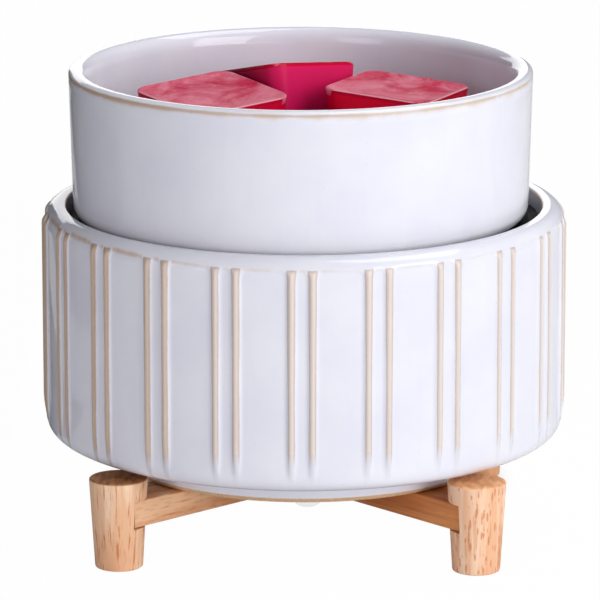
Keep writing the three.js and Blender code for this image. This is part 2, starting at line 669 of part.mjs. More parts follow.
function addDish() {
  const top = DISH_BASE + DISH_HEIGHT;
  const foot = DISH_RADIUS - DISH_TAPER;
  const lip = DISH_WALL / 2;
  const innerFoot = foot - DISH_WALL;
  const dish = revolve([
    [0, DISH_BASE],
    ...arc(foot - DISH_CORNER, DISH_BASE + DISH_CORNER, DISH_CORNER, -90, 0, 3),
    ...arc(DISH_RADIUS - lip, top - lip, lip, 0, 180, 6),
    ...arc(innerFoot - DISH_INNER_CORNER, DISH_FLOOR_LEVEL + DISH_INNER_CORNER, DISH_INNER_CORNER, 0, -90, 3),
    [0, DISH_FLOOR_LEVEL],
  ]);
  addPart('melt_dish', dish.translate([DISH_SHIFT, 0, 0]), finishes.glaze);
}

// A ring of points round a square with rounded corners
function roundedSquare(side, corner, level) {
  const reach = side / 2 - corner;
  const points = [];
  for (let quarter = 0; quarter < 4; quarter += 1) {
    const turn = quarter * 90 + 45;
    const cx = reach * Math.SQRT2 * Math.cos(deg(turn));
    const cy = reach * Math.SQRT2 * Math.sin(deg(turn));
    for (let step = 0; step <= 3; step += 1) {
      const angle = deg(quarter * 90 + step * 30);
      points.push([cx + corner * Math.cos(angle), cy + corner * Math.sin(angle), level]);
    }
  }
  return points;
}

// A closed skin through a stack of rings that all have as many points
function loft(rings) {
  const around = rings[0].length;
  const positions = rings.flat(2);
  const centreOf = (ring) => [0, 0, ring[0][2]];
  positions.push(...centreOf(rings[0]), ...centreOf(rings[rings.length - 1]));
  const bottom = rings.length * around;
  const faces = [];
  for (let j = 0; j < around; j += 1) {
    const next = (j + 1) % around;
    for (let i = 0; i < rings.length - 1; i += 1) {
      const a = i * around;
      const b = a + around;
      faces.push(a + j, a + next, b + next, a + j, b + next, b + j);
    }
    const last = (rings.length - 1) * around;
    faces.push(bottom, next, j, bottom + 1, last + j, last + next);
  }
  const geometry = new THREE.BufferGeometry();
  geometry.setAttribute('position', new THREE.Float32BufferAttribute(positions, 3));
  geometry.setIndex(faces);
  return solid(geometry);
}

// A wax cube stands on its narrow moulded end, with its poured face up and slightly sunken
function waxCube() {
  const sideAt = (level) => WAX_BASE + ((WAX_TOP - WAX_BASE) * level) / WAX_HEIGHT;
  const rings = [];
  for (const angle of [0, 45, 90]) {
    const level = WAX_BASE_ROUND * (1 - Math.cos(deg(angle)));
    const inset = WAX_BASE_ROUND * (1 - Math.sin(deg(angle)));
    rings.push(roundedSquare(sideAt(level) - 2 * inset, WAX_CORNER - inset, level));
  }
  rings.push(roundedSquare(sideAt(WAX_HEIGHT - WAX_RIM_ROUND), WAX_CORNER, WAX_HEIGHT - WAX_RIM_ROUND));
  rings.push(roundedSquare(WAX_TOP - 2 * WAX_RIM_ROUND, WAX_CORNER - WAX_RIM_ROUND, WAX_HEIGHT));
  rings.push(roundedSquare(WAX_TOP - 2 * WAX_DIP_INSET, WAX_CORNER - WAX_RIM_ROUND, WAX_HEIGHT - WAX_DIP));
  return loft(rings);
}

// The cubes lie as they were dropped in: the lean of each about X and Y, then its turn about Z, in degrees,
// and where the middle of its base is
const cubes = [
  { name: 'wax_cube_left', lean: [4.8, -3.4], turn: 38.4, middle: [LEFT_CUBE_X, LEFT_CUBE_Y] },
  { name: 'wax_cube_right', lean: [-0.4, 3.4], turn: -24, middle: [RIGHT_CUBE_X, RIGHT_CUBE_Y] },
  { name: 'wax_cube_rear', lean: [-13.4, 6.3], turn: 44.4, middle: [REAR_CUBE_X, REAR_CUBE_Y] },
];

function addWax() {
  for (const { name, lean, turn, middle } of cubes) {
    const cube = waxCube().rotate([...lean, turn]);
    const lowest = cube.boundingBox().min[2];
    addPart(name, cube.translate([...middle, DISH_FLOOR_LEVEL + SEAT - lowest]), finishes.wax);
  }
}

addStand();
addDrum();
addHotPlate();
addHeater();
addFuse();
addLeads();
addCover();
addBumpers();
addDish();
addWax();

export default model;
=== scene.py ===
"""A two-way candle warmer: fluted ceramic drum, hot plate, lift-off dish with wax cubes, wooden stand."""
import math

import bmesh
import bpy
from mathutils import Euler, Matrix, Vector, noise


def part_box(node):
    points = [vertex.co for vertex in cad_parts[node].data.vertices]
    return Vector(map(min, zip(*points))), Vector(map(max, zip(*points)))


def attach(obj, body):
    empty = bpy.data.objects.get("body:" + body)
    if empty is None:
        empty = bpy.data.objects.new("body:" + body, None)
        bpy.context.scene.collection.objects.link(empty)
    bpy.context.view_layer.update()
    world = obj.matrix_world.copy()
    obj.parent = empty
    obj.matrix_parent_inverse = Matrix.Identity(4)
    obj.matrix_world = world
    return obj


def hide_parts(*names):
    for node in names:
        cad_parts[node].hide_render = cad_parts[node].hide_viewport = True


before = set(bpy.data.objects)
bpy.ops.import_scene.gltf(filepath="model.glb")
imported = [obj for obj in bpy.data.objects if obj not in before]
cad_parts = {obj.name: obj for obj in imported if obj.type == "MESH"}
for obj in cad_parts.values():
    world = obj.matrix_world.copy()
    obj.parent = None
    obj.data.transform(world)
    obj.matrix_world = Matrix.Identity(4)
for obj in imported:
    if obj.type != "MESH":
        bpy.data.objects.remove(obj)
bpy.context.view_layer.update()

MM = 0.001
FULL_TURN = 2 * math.pi


def low(node):
    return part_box(node)[0]


def high(node):
    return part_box(node)[1]


# Small measures that many pieces share
SEAT = 0.3 * MM
SKIN = 0.02 * MM
TIGHT_ROUND = 0.1 * MM
HAIR_ROUND = 0.3 * MM
FINE_ROUND = 0.5 * MM
SMALL_ROUND = 0.8 * MM

# The drum's outside
DRUM_BASE = low("ceramic_body").z
RIM_TOP = high("ceramic_body").z
DRUM_RADIUS = high("ceramic_body").y - SKIN
RIM_WIDTH = 6.6 * MM
SHOULDER_ROUND = 4.4 * MM
RIM_INNER_ROUND = 0.9 * MM
FOOT_BEVEL = 1.2 * MM
FOOT_RING_WIDTH = 7.9 * MM
CREASE_HEIGHT = 3.5 * MM
CREASE_DEPTH = 0.15 * MM
CURVE_WIDTH = 17.5 * MM
CURVE_HEIGHT = 11.8 * MM
CURVE_LOW_WIDTH = 8 * MM
CURVE_LOW_RISE = 4 * MM
CURVE_TURN_RISE = 1.8 * MM
RIB_PROUD = 0.9 * MM

PANEL_RADIUS = DRUM_RADIUS - RIB_PROUD
INNER_RIM_RADIUS = DRUM_RADIUS - RIM_WIDTH
CREASE_RADIUS = PANEL_RADIUS - CURVE_WIDTH
FOOT_RADIUS = CREASE_RADIUS - FOOT_BEVEL
CREASE_LEVEL = DRUM_BASE + CREASE_HEIGHT
PANEL_FOOT = DRUM_BASE + CURVE_HEIGHT
SHOULDER_BASE = RIM_TOP - SHOULDER_ROUND

# The plain band under the rim
BAND_START = 2 * MM
BAND_PROUD = 0.4 * MM
BAND_BLEND = 1.2 * MM
BAND_RISE = 1 * MM
BAND_LEAN = 0.45
CORNER_ROUND = 2.2 * MM

# The ribs
RIB_HALF = 1.8 * MM
RIB_SPACING = 5.5 * MM
RIB_PAIRS = 22
RIB_PHASE = math.radians(1.7)
RIB_TAIL_LEVEL = CREASE_LEVEL + 6.2 * MM
RIB_FULL_LEVEL = PANEL_FOOT + 6.4 * MM
RIB_TAIL_SHARE = 0.88
RIB_FLARE = 0.5 * MM
RIB_FLARE_LOST = 0.3 * MM
RIB_FLARE_HEIGHT = 3 * MM
RIB_SINKS_BELOW = 2.6 * MM
RIB_SUNK_ABOVE = 0.6 * MM

PAIR_PITCH = FULL_TURN / RIB_PAIRS
RIB_FROM_MIDDLE = RIB_SPACING / 2 / DRUM_RADIUS
PANEL_WIDTH = (PAIR_PITCH - 2 * RIB_FROM_MIDDLE) * DRUM_RADIUS

# The drum's mesh lines, in millimetres round the drum from a crest, or from the middle of a pair
BEAD_LINES = (0, 0.18, 0.36, 0.55, 0.76, 0.98, 1.2, 1.45, 1.7)
PANEL_LINES = (2.1, 2.6, 3.2, 4.0, 5.0, 6.1)
BETWEEN_LINES = (-0.5, 0.5)
FINE_ROWS_HEIGHT = 3 * MM

# The drum's inside
WALL = 5.6 * MM
RECESS_DEPTH = 7 * MM
DECK_THICKNESS = 4.8 * MM
DECK_WIDTH = 11.4 * MM
DECK_FILLET = 3 * MM
DECK_EDGE_ROUND = 0.6 * MM
FLOOR_THICKNESS = 5.2 * MM
FLOOR_FALL = 1.5 * MM
FLOOR_FILLET = 8 * MM
COVER_LEDGE = 2.6 * MM
COVER_DEPTH = 5 * MM

LEDGE = RIM_TOP - RECESS_DEPTH
INNER_WALL_RADIUS = PANEL_RADIUS - WALL
COVER_OPENING_RADIUS = FOOT_RADIUS - FOOT_RING_WIDTH

# The bush at the back
BUSH_ANGLE = RIB_PHASE + (RIB_PAIRS / 2 + 0.5) * PAIR_PITCH
BUSH_LEVEL = (low("cord_grommet").z + high("cord_grommet").z) / 2
BUSH_NECK_RADIUS = 3.5 * MM
BUSH_FLANGE_RADIUS = 4.8 * MM
BUSH_BORE_RADIUS = 2.5 * MM
BUSH_FLANGE = 0.8 * MM

# The dish
DISH_BASE = low("melt_dish").z
DISH_TOP = high("melt_dish").z
DISH_RADIUS = (high("melt_dish").y - low("melt_dish").y) / 2
DISH_MIDDLE = (low("melt_dish") + high("melt_dish")) / 2
DISH_TAPER = 0.9 * MM
DISH_WALL = 5.2 * MM
DISH_FLOOR = 6.2 * MM
DISH_CORNER = 4 * MM
DISH_INNER_CORNER = 9 * MM
DISH_HOLLOW = 0.8 * MM
DISH_HOLLOW_RADIUS = 8 * MM
DISH_RING_WIDTH = 4 * MM
DISH_RING_SLOPE = 1 * MM

# Where the glaze breaks tan
CREST_FADE = 2.4 * MM
CREST_OVERRUN = 0.6 * MM
RUN_LENGTH = 16 * MM
# How much lower the tan runs reach on the shaded left side: painted shade.
RUN_SHADED_SIDE = 5.4 * MM
RIM_LINE_INSET = 0.2 * MM
RIM_LINE_WIDTH = 0.7 * MM
RIM_LINE_DEPTH = 1.2 * MM
BAND_LINE_DROP = 0.6 * MM
BARE_FOOT_OVERLAP = 0.15 * MM
BARE_INSIDE_HEIGHT = 9 * MM
DISH_LINE_DROP = 1.15 * MM
DISH_LINE_RISE = 0.8 * MM
DISH_LINE_DEPTH = 0.7 * MM
DISH_BARE_HEIGHT = 0.6 * MM

# The wax cubes
WAX_TOP = 31 * MM
WAX_BASE = 26 * MM
WAX_HEIGHT = 25.5 * MM
WAX_CORNER = 4.5 * MM
WAX_BASE_ROUND = 3.5 * MM
WAX_RIM_ROUND = 0.55 * MM
WAX_REAR_RIM_ROUND = 1.7 * MM
WAX_LEAST_CORNER = 0.4 * MM
WAX_DIP = 0.7 * MM
WAX_DIP_START = 0.6
WAX_DIP_FALL = 1.6
WAX_INSETS = (0.9, 1.3, 1.9, 2.8, 4.0, 5.5, 7.5, 10, 12.5, 14.5)
SWELL_SCALE = 95
SWELL_SHARE = 0.35
RIPPLE_SCALE = 320
RIPPLE_SHARE = 0.12
WAVE_DROP = 0.12

# The stand
LEG_HEIGHT = high("leg_front_left").z
LEG_TOP_RADIUS = 7.7 * MM
LEG_FOOT_RADIUS = 6.25 * MM
LEG_FOOT_ROUND = 0.6 * MM
LEG_TOP_ROUND = 0.7 * MM
LEG_TOP_BORDER = 2.5 * MM
LEG_TOP_DIP = 0.05 * MM
LEG_CIRCLE = 66 * MM
BRACE_WIDTH = 12.5 * MM
BRACE_TOP = high("brace_upper").z
BRACE_BASE = low("brace_upper").z
BRACE_EDGE = 0.35 * MM
NOTCH_FACE = LEG_CIRCLE + 0.4 * MM

# The hot plate
PLATE_TOP = high("hot_plate").z
PLATE_RADIUS = high("hot_plate").x
PLATE_THICKNESS = 1.8 * MM
PLATE_EDGE_WIDTH = 3 * MM
PLATE_EDGE_SLOPE = 0.6 * MM
PLATE_STEP = 0.35 * MM
PLATE_BASE = PLATE_TOP - PLATE_THICKNESS
STUD_CIRCLE = 35.5 * MM
POST_CIRCLE = 20 * MM
BOSS_RADIUS = 4.2 * MM
BOSS_DROP = 3 * MM
STUD_RADIUS = 1.5 * MM
STUD_DROP = 11 * MM
POST_SEAT_RADIUS = 2 * MM
STEM_OVERLAP = 0.5 * MM

# The cover's screws
SCREW_HEAD_HEIGHT = 1.7 * MM
SCREW_DOME_HEIGHT = 1 * MM
SCREW_FLAT_SHARE = 0.62
SCREW_NECK_RADIUS = 1.45 * MM
SCREW_THREAD_RADIUS = 1.5 * MM
SCREW_THREAD_DEPTH = 0.28 * MM
SCREW_TURNS = 9
CROSS_HALF_LENGTH = 1.7 * MM
CROSS_HALF_WIDTH = 0.35 * MM
CROSS_DEPTH = 0.9 * MM

# The studio
CAMERA_PLACE = (0.0472, -1.2633, 0.3637)
CAMERA_AIM = (-0.0011, 0, 0.0607)
LENS = 291.3
FLOOR_HALF = 3.0
FLOOR_DROP = 0.05 * MM
FLOOR_GLOW = 0.985
SHADE_HEART = (0, 0.04, 0)
SHADE_FRONT = (0.016, 0.026)
SHADE_EDGE = (0.046, 0.058)
FLAG_FRONT = (-0.3, 0.0)
FLAG_BACK = (-0.22, 0.6)
FLAG_TOP = 0.25
LOW_CARD = ((-0.2, 0.02), (-0.086, 0.05), (-0.1, 0.4), (-0.2, 0.4))
LOW_CARD_LEVEL = 0.2 * MM
SURROUNDINGS = 0.14


# Shader maths
def paint(red, green, blue):
    """A colour read off in 0 to 255 as the linear colour a shader takes."""
    parts = (c / 255 for c in (red, green, blue))
    return tuple(c / 12.92 if c <= 0.04045 else ((c + 0.055) / 1.055) ** 2.4 for c in parts) + (1.0,)


class Value:
    """One number that varies over a surface, so that shader maths reads as maths."""

    def __init__(self, finish, socket):
        self.finish = finish
        self.socket = socket

    def joined(self, operation, first, second):
        return self.finish.node("ShaderNodeMath", {"operation": operation}, {0: first, 1: second})

    def __add__(self, other):
        return self.joined("ADD", self, other)

    def __sub__(self, other):
        return self.joined("SUBTRACT", self, other)

    def __rsub__(self, other):
        return self.joined("SUBTRACT", other, self)

    def __mul__(self, other):
        return self.joined("MULTIPLY", self, other)

    __radd__ = __add__
    __rmul__ = __mul__

    def most(self, other):
        return self.joined("MAXIMUM", self, other)

    def rise(self, start, end):
        """0 up to start, 1 from end, smooth between them."""
        return self.finish.node("ShaderNodeMapRange", {"interpolation_type": "SMOOTHSTEP"},
                                {"Value": self, "From Min": start, "From Max": end})

    def spread(self, first, second):
        """This share of the way from one number to another, without limits."""
        return self * (second - first) + first


class Finish:
    """One material: a Principled shader and the nodes that feed it."""

    def __init__(self, name, **constants):
        self.material = bpy.data.materials.new(name)
        self.material.use_nodes = True
        self.tree = self.material.node_tree
        self.shader = self.tree.nodes["Principled BSDF"]
        for socket, value in constants.items():
            self.shader.inputs[socket.replace("_", " ")].default_value = value

    def node(self, kind, settings=None, inputs=None, output=0):
        made = self.tree.nodes.new(kind)
        for setting, value in (settings or {}).items():
            setattr(made, setting, value)
        for socket, value in (inputs or {}).items():
            self.fill(made.inputs[socket], value)
        return Value(self, made.outputs[output])

    def fill(self, socket, value):
        if isinstance(value, Value):
            self.tree.links.new(value.socket, socket)
        else:
            socket.default_value = value

    def feed(self, **sockets):
        for socket, value in sockets.items():
            self.fill(self.shader.inputs[socket.replace("_", " ")], value)
        return self

    def scaled(self, spot, scale):
        return self.node("ShaderNodeVectorMath", {"operation": "MULTIPLY"}, {0: spot, 1: scale})

    def place(self, scale=(1, 1, 1), turn=(0, 0, 0), shift=(0, 0, 0)):
        """Where a point of the piece is, in metres, turned, shifted and scaled."""
        spot = self.node("ShaderNodeTexCoord", output="Object")
        turned_spot = self.node("ShaderNodeVectorRotate", {"rotation_type": "EULER_XYZ"},
                                {"Vector": spot, "Rotation": turn})
        moved = self.node("ShaderNodeVectorMath", {"operation": "ADD"}, {0: turned_spot, 1: shift})
        return self.scaled(moved, scale)

    def marks(self, name):
        """What the mesh says about a point, such as how far up a crest it lies."""
        return self.node("ShaderNodeAttribute", {"attribute_name": name}, output="Fac")

    def cloud(self, scale, detail=3, rough=0.5, spot=None, warp=0.0):
        """Soft noise from 0 to 1. The scale is in features to the metre."""
        return self.node("ShaderNodeTexNoise", None,
                         {"Vector": spot or self.place(), "Scale": scale, "Detail": detail,
                          "Roughness": rough, "Distortion": warp}, output="Fac")

    def cells(self, scale, spot=None):
        """The distance to the nearest of many scattered points. The scale is in points to the metre."""
        return self.node("ShaderNodeTexVoronoi", None,
                         {"Vector": spot or self.place(), "Scale": scale}, output="Distance")

    def mix(self, share, first, second):
        return self.node("ShaderNodeMix", {"data_type": "RGBA"}, {"Factor": share, 6: first, 7: second},
                         output=2)

    def bump(self, height, depth, strength=1.0, under=None):
        inputs = {"Height": height, "Distance": depth, "Strength": strength}
        if under:
            inputs["Normal"] = under
        return self.node("ShaderNodeBump", None, inputs)


# Mesh work
def new_piece(name, points, faces, finish, body, slot, replaces=()):
    mesh = bpy.data.meshes.new(name)
    mesh.from_pydata([tuple(p) for p in points], [], faces)
    mesh.validate()
    piece = bpy.data.objects.new(name, mesh)
    bpy.context.scene.collection.objects.link(piece)
    return settle(piece, finish, body, replaces)


def settle(piece, finish, body, replaces=()):
    """Gives a piece its finish, smooth shading and body, and hides the parts that it replaces."""
    piece.data.materials.clear()
    piece.data.materials.append(finish.material)
    piece.data.shade_smooth()
    piece.data.set_sharp_from_angle(angle=math.radians(38))
    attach(piece, body)
    if replaces:
        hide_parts(*replaces)
    return piece


def grid_faces(rows, columns, closed_rows):
    faces = []
    for i in range(rows if closed_rows else rows - 1):
        below, above = i * columns, (i + 1) % rows * columns
        for j in range(columns):
            k = (j + 1) % columns
            faces.append((below + j, below + k, above + k, above + j))
    return faces


def ring_skin(rings, closed_rows=False):
    """Points and faces of a skin through a stack of rings. Open stacks are closed by a fan at each end."""
    columns = len(rings[0])
    points = [p for ring in rings for p in ring]
    faces = grid_faces(len(rings), columns, closed_rows)
    if not closed_rows:
        for ring, start in ((rings[0], 0), (rings[-1], (len(rings) - 1) * columns)):
            middle = sum((Vector(p) for p in ring), Vector()) / columns
            points.append(tuple(middle))
            hub = len(points) - 1
            for j in range(columns):
                k = (j + 1) % columns
                faces.append((hub, start + k, start + j) if start == 0 else (hub, start + j, start + k))
    return points, faces


def softened(corners, steps=5):
    """A profile of (r, z, round) corners with each corner rounded off as far as its third number says."""
    line = []
    for i, (r, z, cut) in enumerate(corners):
        if cut == 0 or i in (0, len(corners) - 1):
            line.append((r, z))
            continue
        here = Vector((r, z))
        before = Vector(corners[i - 1][:2]) - here
        after = Vector(corners[i + 1][:2]) - here
        start = here + before.normalized() * min(cut, before.length * 0.49)
        end = here + after.normalized() * min(cut, after.length * 0.49)
        for step in range(steps + 1):
            t = step / steps
            spot = start * (1 - t) ** 2 + here * 2 * t * (1 - t) + end * t ** 2
            line.append((spot.x, spot.y))
    return line


def arc(r, z, radius, start, end, steps):
    """Points of an arc in a profile, from one angle to another in degrees."""
    turns = (math.radians(start + (end - start) * i / steps) for i in range(steps + 1))
    return [(r + radius * math.cos(a), z + radius * math.sin(a)) for a in turns]


def turned(profile, columns, closed=False, at=(0, 0)):
    """Points and faces of a turned form. A profile that starts and ends on the axis closes there."""
    line = profile if closed else [p for p in profile if p[0] > 1e-7]
    turns = [FULL_TURN * j / columns for j in range(columns)]
    rings = [[(at[0] + r * math.sin(a), at[1] - r * math.cos(a), z) for a in turns] for r, z in line]
    return ring_skin(rings, closed)


def write_marks(piece, name, shares):
    attribute = piece.data.attributes.new(name, "FLOAT", "POINT")
    attribute.data.foreach_set("value", [float(share) for share in shares])


def mark(piece, name, share):
    """Writes a number for each point of a piece, worked out from where the point is."""
    write_marks(piece, name, [share(v.co) for v in piece.data.vertices])


def cut_away(piece, points, faces):
    """Takes a closed form out of a piece."""
    mesh = bpy.data.meshes.new("cutter")
    mesh.from_pydata([tuple(p) for p in points], [], faces)
    cutter = bpy.data.objects.new("cutter", mesh)
    bpy.context.scene.collection.objects.link(cutter)
    modifier = piece.modifiers.new("cut", "BOOLEAN")
    modifier.object = cutter
    modifier.operation = "DIFFERENCE"
    modifier.solver = "EXACT"
    bpy.context.view_layer.update()
    result = bpy.data.meshes.new_from_object(piece.evaluated_get(bpy.context.evaluated_depsgraph_get()))
    piece.modifiers.clear()
    piece.data = result
    bpy.data.objects.remove(cutter)
    return piece


def box_form(low_corner, high_corner, turn=0.0):
    (x0, y0, z0), (x1, y1, z1) = low_corner, high_corner
    spin = Matrix.Rotation(turn, 3, "Z")
    points = [spin @ Vector(p) for p in ((x0, y0, z0), (x1, y0, z0), (x1, y1, z0), (x0, y1, z0),
                                         (x0, y0, z1), (x1, y0, z1), (x1, y1, z1), (x0, y1, z1))]
    faces = [(3, 2, 1, 0), (4, 5, 6, 7), (0, 1, 5, 4), (1, 2, 6, 5), (2, 3, 7, 6), (3, 0, 4, 7)]
    return points, faces


def clamp(value, least=0.0, most=1.0):
    return max(least, min(most, value))


def smooth(value, start, end):
    t = clamp((value - start) / (end - start))
    return t * t * (3 - 2 * t)


def blend_max(a, b, width):
    """The larger of two numbers, with the corner between them rounded."""
    near = max(width - abs(a - b), 0) / width
    return max(a, b) + near * near * width / 4


# The fluted drum
def from_rib(angle):
    """The distance round the drum from the nearest crest."""
    place = (angle - RIB_PHASE) % PAIR_PITCH
    if place > PAIR_PITCH / 2:
        place -= PAIR_PITCH
    return abs(abs(place) - RIB_FROM_MIDDLE) * DRUM_RADIUS


def border(angle):
    """The level where the panels end below the plain band. It wanders a little round the drum."""
    side = math.sin(angle)
    return SHOULDER_BASE + BAND_START + BAND_RISE * side * (side - BAND_LEAN)


def shaded_side(p):
    """How far round the shaded left side a point lies. The glaze's tan is painted browner and stronger
    there: painted shade.
    """
    return smooth(-p.x / DISH_RADIUS, 0.1, 0.95)


def rib_share(level):
    """The ribs grow out of the lower curve."""
    return smooth(level, RIB_TAIL_LEVEL, RIB_FULL_LEVEL)


def rib_half(angle, level):
    """Half a rib's width: thinner where it leaves the lower curve, wider just under the plain band."""
    top = border(angle)
    flare = RIB_FLARE - RIB_FLARE_LOST * smooth(math.sin(angle), 0, 0.6)
    straight = RIB_HALF * (RIB_TAIL_SHARE + (1 - RIB_TAIL_SHARE) * rib_share(level))
    return straight + flare * smooth(level, top - RIB_FLARE_HEIGHT, top)


def relief(angle, level):
    """How far the drum stands out from its panels: the beads, and the plain band that they run up into."""
    top = border(angle)
    bead = (1 - from_rib(angle) / rib_half(angle, level)) * RIB_HALF
    band = (level - top + BAND_BLEND) * RIB_HALF / BAND_BLEND
    share = clamp(blend_max(bead, band, CORNER_ROUND) / RIB_HALF)
    sunk = smooth(level, top - RIB_SINKS_BELOW, top + RIB_SUNK_ABOVE)
    proud = RIB_PROUD + (BAND_PROUD - RIB_PROUD) * sunk
    return proud * (0.5 - 0.5 * math.cos(math.pi * share))


def drum_angles():
    """Close together over the beads, wider over the panels."""
    beads = [-b * MM for b in reversed(BEAD_LINES[1:])] + [b * MM for b in BEAD_LINES]
    panel = [p * MM for p in PANEL_LINES]
    panel += [PANEL_WIDTH - p for p in reversed(panel)]
    angles = []
    for pair in range(RIB_PAIRS):
        middle = RIB_PHASE + pair * PAIR_PITCH
        angles += [middle - RIB_FROM_MIDDLE + b / DRUM_RADIUS for b in beads]
        angles += [middle + b * MM / DRUM_RADIUS for b in BETWEEN_LINES]
        angles += [middle + RIB_FROM_MIDDLE + b / DRUM_RADIUS for b in beads + panel]
    return angles


def lower_curve(steps=22):
    start = Vector((CREASE_RADIUS, CREASE_LEVEL))
    leaving = start + Vector((CURVE_LOW_WIDTH, CURVE_LOW_RISE))
    arriving = Vector((PANEL_RADIUS, CREASE_LEVEL + CURVE_TURN_RISE))
    end = Vector((PANEL_RADIUS, PANEL_FOOT))
    rows = []
    for i in range(steps + 1):
        t = i / steps
        spot = (start * (1 - t) ** 3 + leaving * 3 * t * (1 - t) ** 2 + arriving * 3 * t ** 2 * (1 - t)
                + end * t ** 3)
        rows.append((spot.x, spot.y, rib_share(spot.y)))
    return rows


def drum_foot():
    return softened([
        (COVER_OPENING_RADIUS, DRUM_BASE, 0),
        (FOOT_RADIUS, DRUM_BASE, HAIR_ROUND),
        (CREASE_RADIUS, DRUM_BASE + FOOT_BEVEL, HAIR_ROUND),
        (CREASE_RADIUS, DRUM_BASE + FOOT_BEVEL + FINE_ROUND, 0),
        (CREASE_RADIUS - CREASE_DEPTH, CREASE_LEVEL - CREASE_DEPTH, 0),
    ], 3)


def drum_inside():
    deck_base = LEDGE - DECK_THICKNESS
    deck_radius = INNER_RIM_RADIUS - DECK_WIDTH
    ledge_radius = COVER_OPENING_RADIUS - COVER_LEDGE
    floor_base = DRUM_BASE + COVER_DEPTH
    floor_top = floor_base + FLOOR_THICKNESS
    return softened([
        (PANEL_RADIUS - SHOULDER_ROUND, RIM_TOP, 0),
        (INNER_RIM_RADIUS, RIM_TOP, RIM_INNER_ROUND),
        (INNER_RIM_RADIUS, LEDGE, SMALL_ROUND),
        (deck_radius, LEDGE, DECK_EDGE_ROUND),
        (deck_radius, deck_base, SMALL_ROUND),
        (INNER_WALL_RADIUS, deck_base, DECK_FILLET),
        (INNER_WALL_RADIUS, floor_top + FLOOR_FALL, FLOOR_FILLET),
        (ledge_radius, floor_top, SMALL_ROUND),
        (ledge_radius, floor_base, FINE_ROUND),
        (COVER_OPENING_RADIUS, floor_base, FINE_ROUND),
        (COVER_OPENING_RADIUS, DRUM_BASE + FINE_ROUND, 0),
    ], 6)


def drum_rows():
    """The drum's section as (radius, level, share of the relief): up the outside, then down the inside."""
    rows = [(r, z, 0) for r, z in drum_foot()]
    rows += lower_curve()
    straight = SHOULDER_BASE - FINE_ROWS_HEIGHT
    for i in range(1, 16):
        level = PANEL_FOOT + (straight - PANEL_FOOT) * (i / 16) ** 1.5
        rows.append((PANEL_RADIUS, level, rib_share(level)))
    rows += [(PANEL_RADIUS, straight + (SHOULDER_BASE - straight) * i / 12, 1) for i in range(12)]
    shoulder = arc(PANEL_RADIUS - SHOULDER_ROUND, SHOULDER_BASE, SHOULDER_ROUND, 0, 90, 22)
    rows += [(r, z, 1) for r, z in shoulder]
    rows += [(r, z, -1) for r, z in drum_inside()]
    return rows


def outward(points):
    """Lays a form that stands on +Z along the line of the cord bush."""
    lean = Matrix.Rotation(BUSH_ANGLE, 4, "Z") @ Matrix.Rotation(math.radians(90), 4, "X")
    return [Matrix.Translation((0, 0, BUSH_LEVEL)) @ lean @ Vector(p) for p in points]


def crest(p):
    """1 on top of a rib and 0 from its foot. It ends in a fade under the plain band."""
    if p.xy.length < PANEL_RADIUS * 0.8:
        return 0
    angle = math.atan2(p.x, -p.y)
    down = border(angle) - p.z
    breadth = 1.02 - 0.15 * smooth(angle, 0, 1) - 0.12 * smooth(down, 5 * MM, 35 * MM)
    line = 1 - from_rib(angle) / (breadth * rib_half(angle, p.z))
    return min(clamp(line), clamp((down + CREST_OVERRUN) / CREST_FADE))


def run(p):
    """How far up from the crease a point lies, where the glaze ran down off the ribs."""
    # The runs reach lower on the shaded left side: painted shade.
    return clamp((p.z - CREASE_LEVEL + RUN_SHADED_SIDE * shaded_side(p)) / RUN_LENGTH)


def drum_edge(p):
    """The tan lines: one inside the rim and one under the plain band, painted stronger to the shaded left
    and weaker to the lit right as painted shade and light.
    """
    if p.xy.length < PANEL_RADIUS - SHOULDER_ROUND:
        from_edge = abs(p.xy.length - INNER_RIM_RADIUS - RIM_LINE_INSET)
        return clamp(1 - from_edge / RIM_LINE_WIDTH) * (p.z > RIM_TOP - RIM_LINE_DEPTH)
    angle = math.atan2(p.x, -p.y)
    side = math.sin(angle)
    width = (0.8 - 0.25 * side) * MM
    line = math.exp(-((p.z - border(angle) + BAND_LINE_DROP) / width) ** 2)
    return (0.62 - 0.28 * side) * line * smooth(from_rib(angle), 0.6 * MM, 2.4 * MM)


def drum_bare(p):
    """The unglazed foot ring, floor opening and inside."""
    radius = p.xy.length
    low_down = p.z < DRUM_BASE + FOOT_BEVEL + BARE_FOOT_OVERLAP
    foot = low_down or radius < COVER_OPENING_RADIUS + FINE_ROUND
    inside = DRUM_BASE + BARE_INSIDE_HEIGHT < p.z < LEDGE - 1 * MM and radius < PANEL_RADIUS - WALL / 2
    return (foot and p.z < LEDGE) or inside


def make_drum(finish):
    angles = drum_angles()
    rings = []
    for radius, level, share in drum_rows():
        ring = []
        for angle in angles:
            r = radius + (relief(angle, level) * share if share > 0 else 0)
            ring.append((r * math.sin(angle), -r * math.cos(angle), level))
        rings.append(ring)
    drum = new_piece("fluted_drum", *ring_skin(rings, True), finish, "warmer", "glaze", ["ceramic_body"])
    neck = BUSH_NECK_RADIUS + SEAT
    start, end = DRUM_RADIUS / 2, DRUM_RADIUS * 1.5
    hole, faces = turned([(0, start), (neck, start), (neck, end), (0, end)], 40)
    cut_away(drum, outward(hole), faces)
    settle(drum, finish, "warmer")
    # The first mark carries painted shade on the drum's left side.
    for name, share in (("shaded_side", shaded_side), ("crest", crest), ("run", run), ("edge", drum_edge),
                        ("bare", drum_bare)):
        mark(drum, name, share)


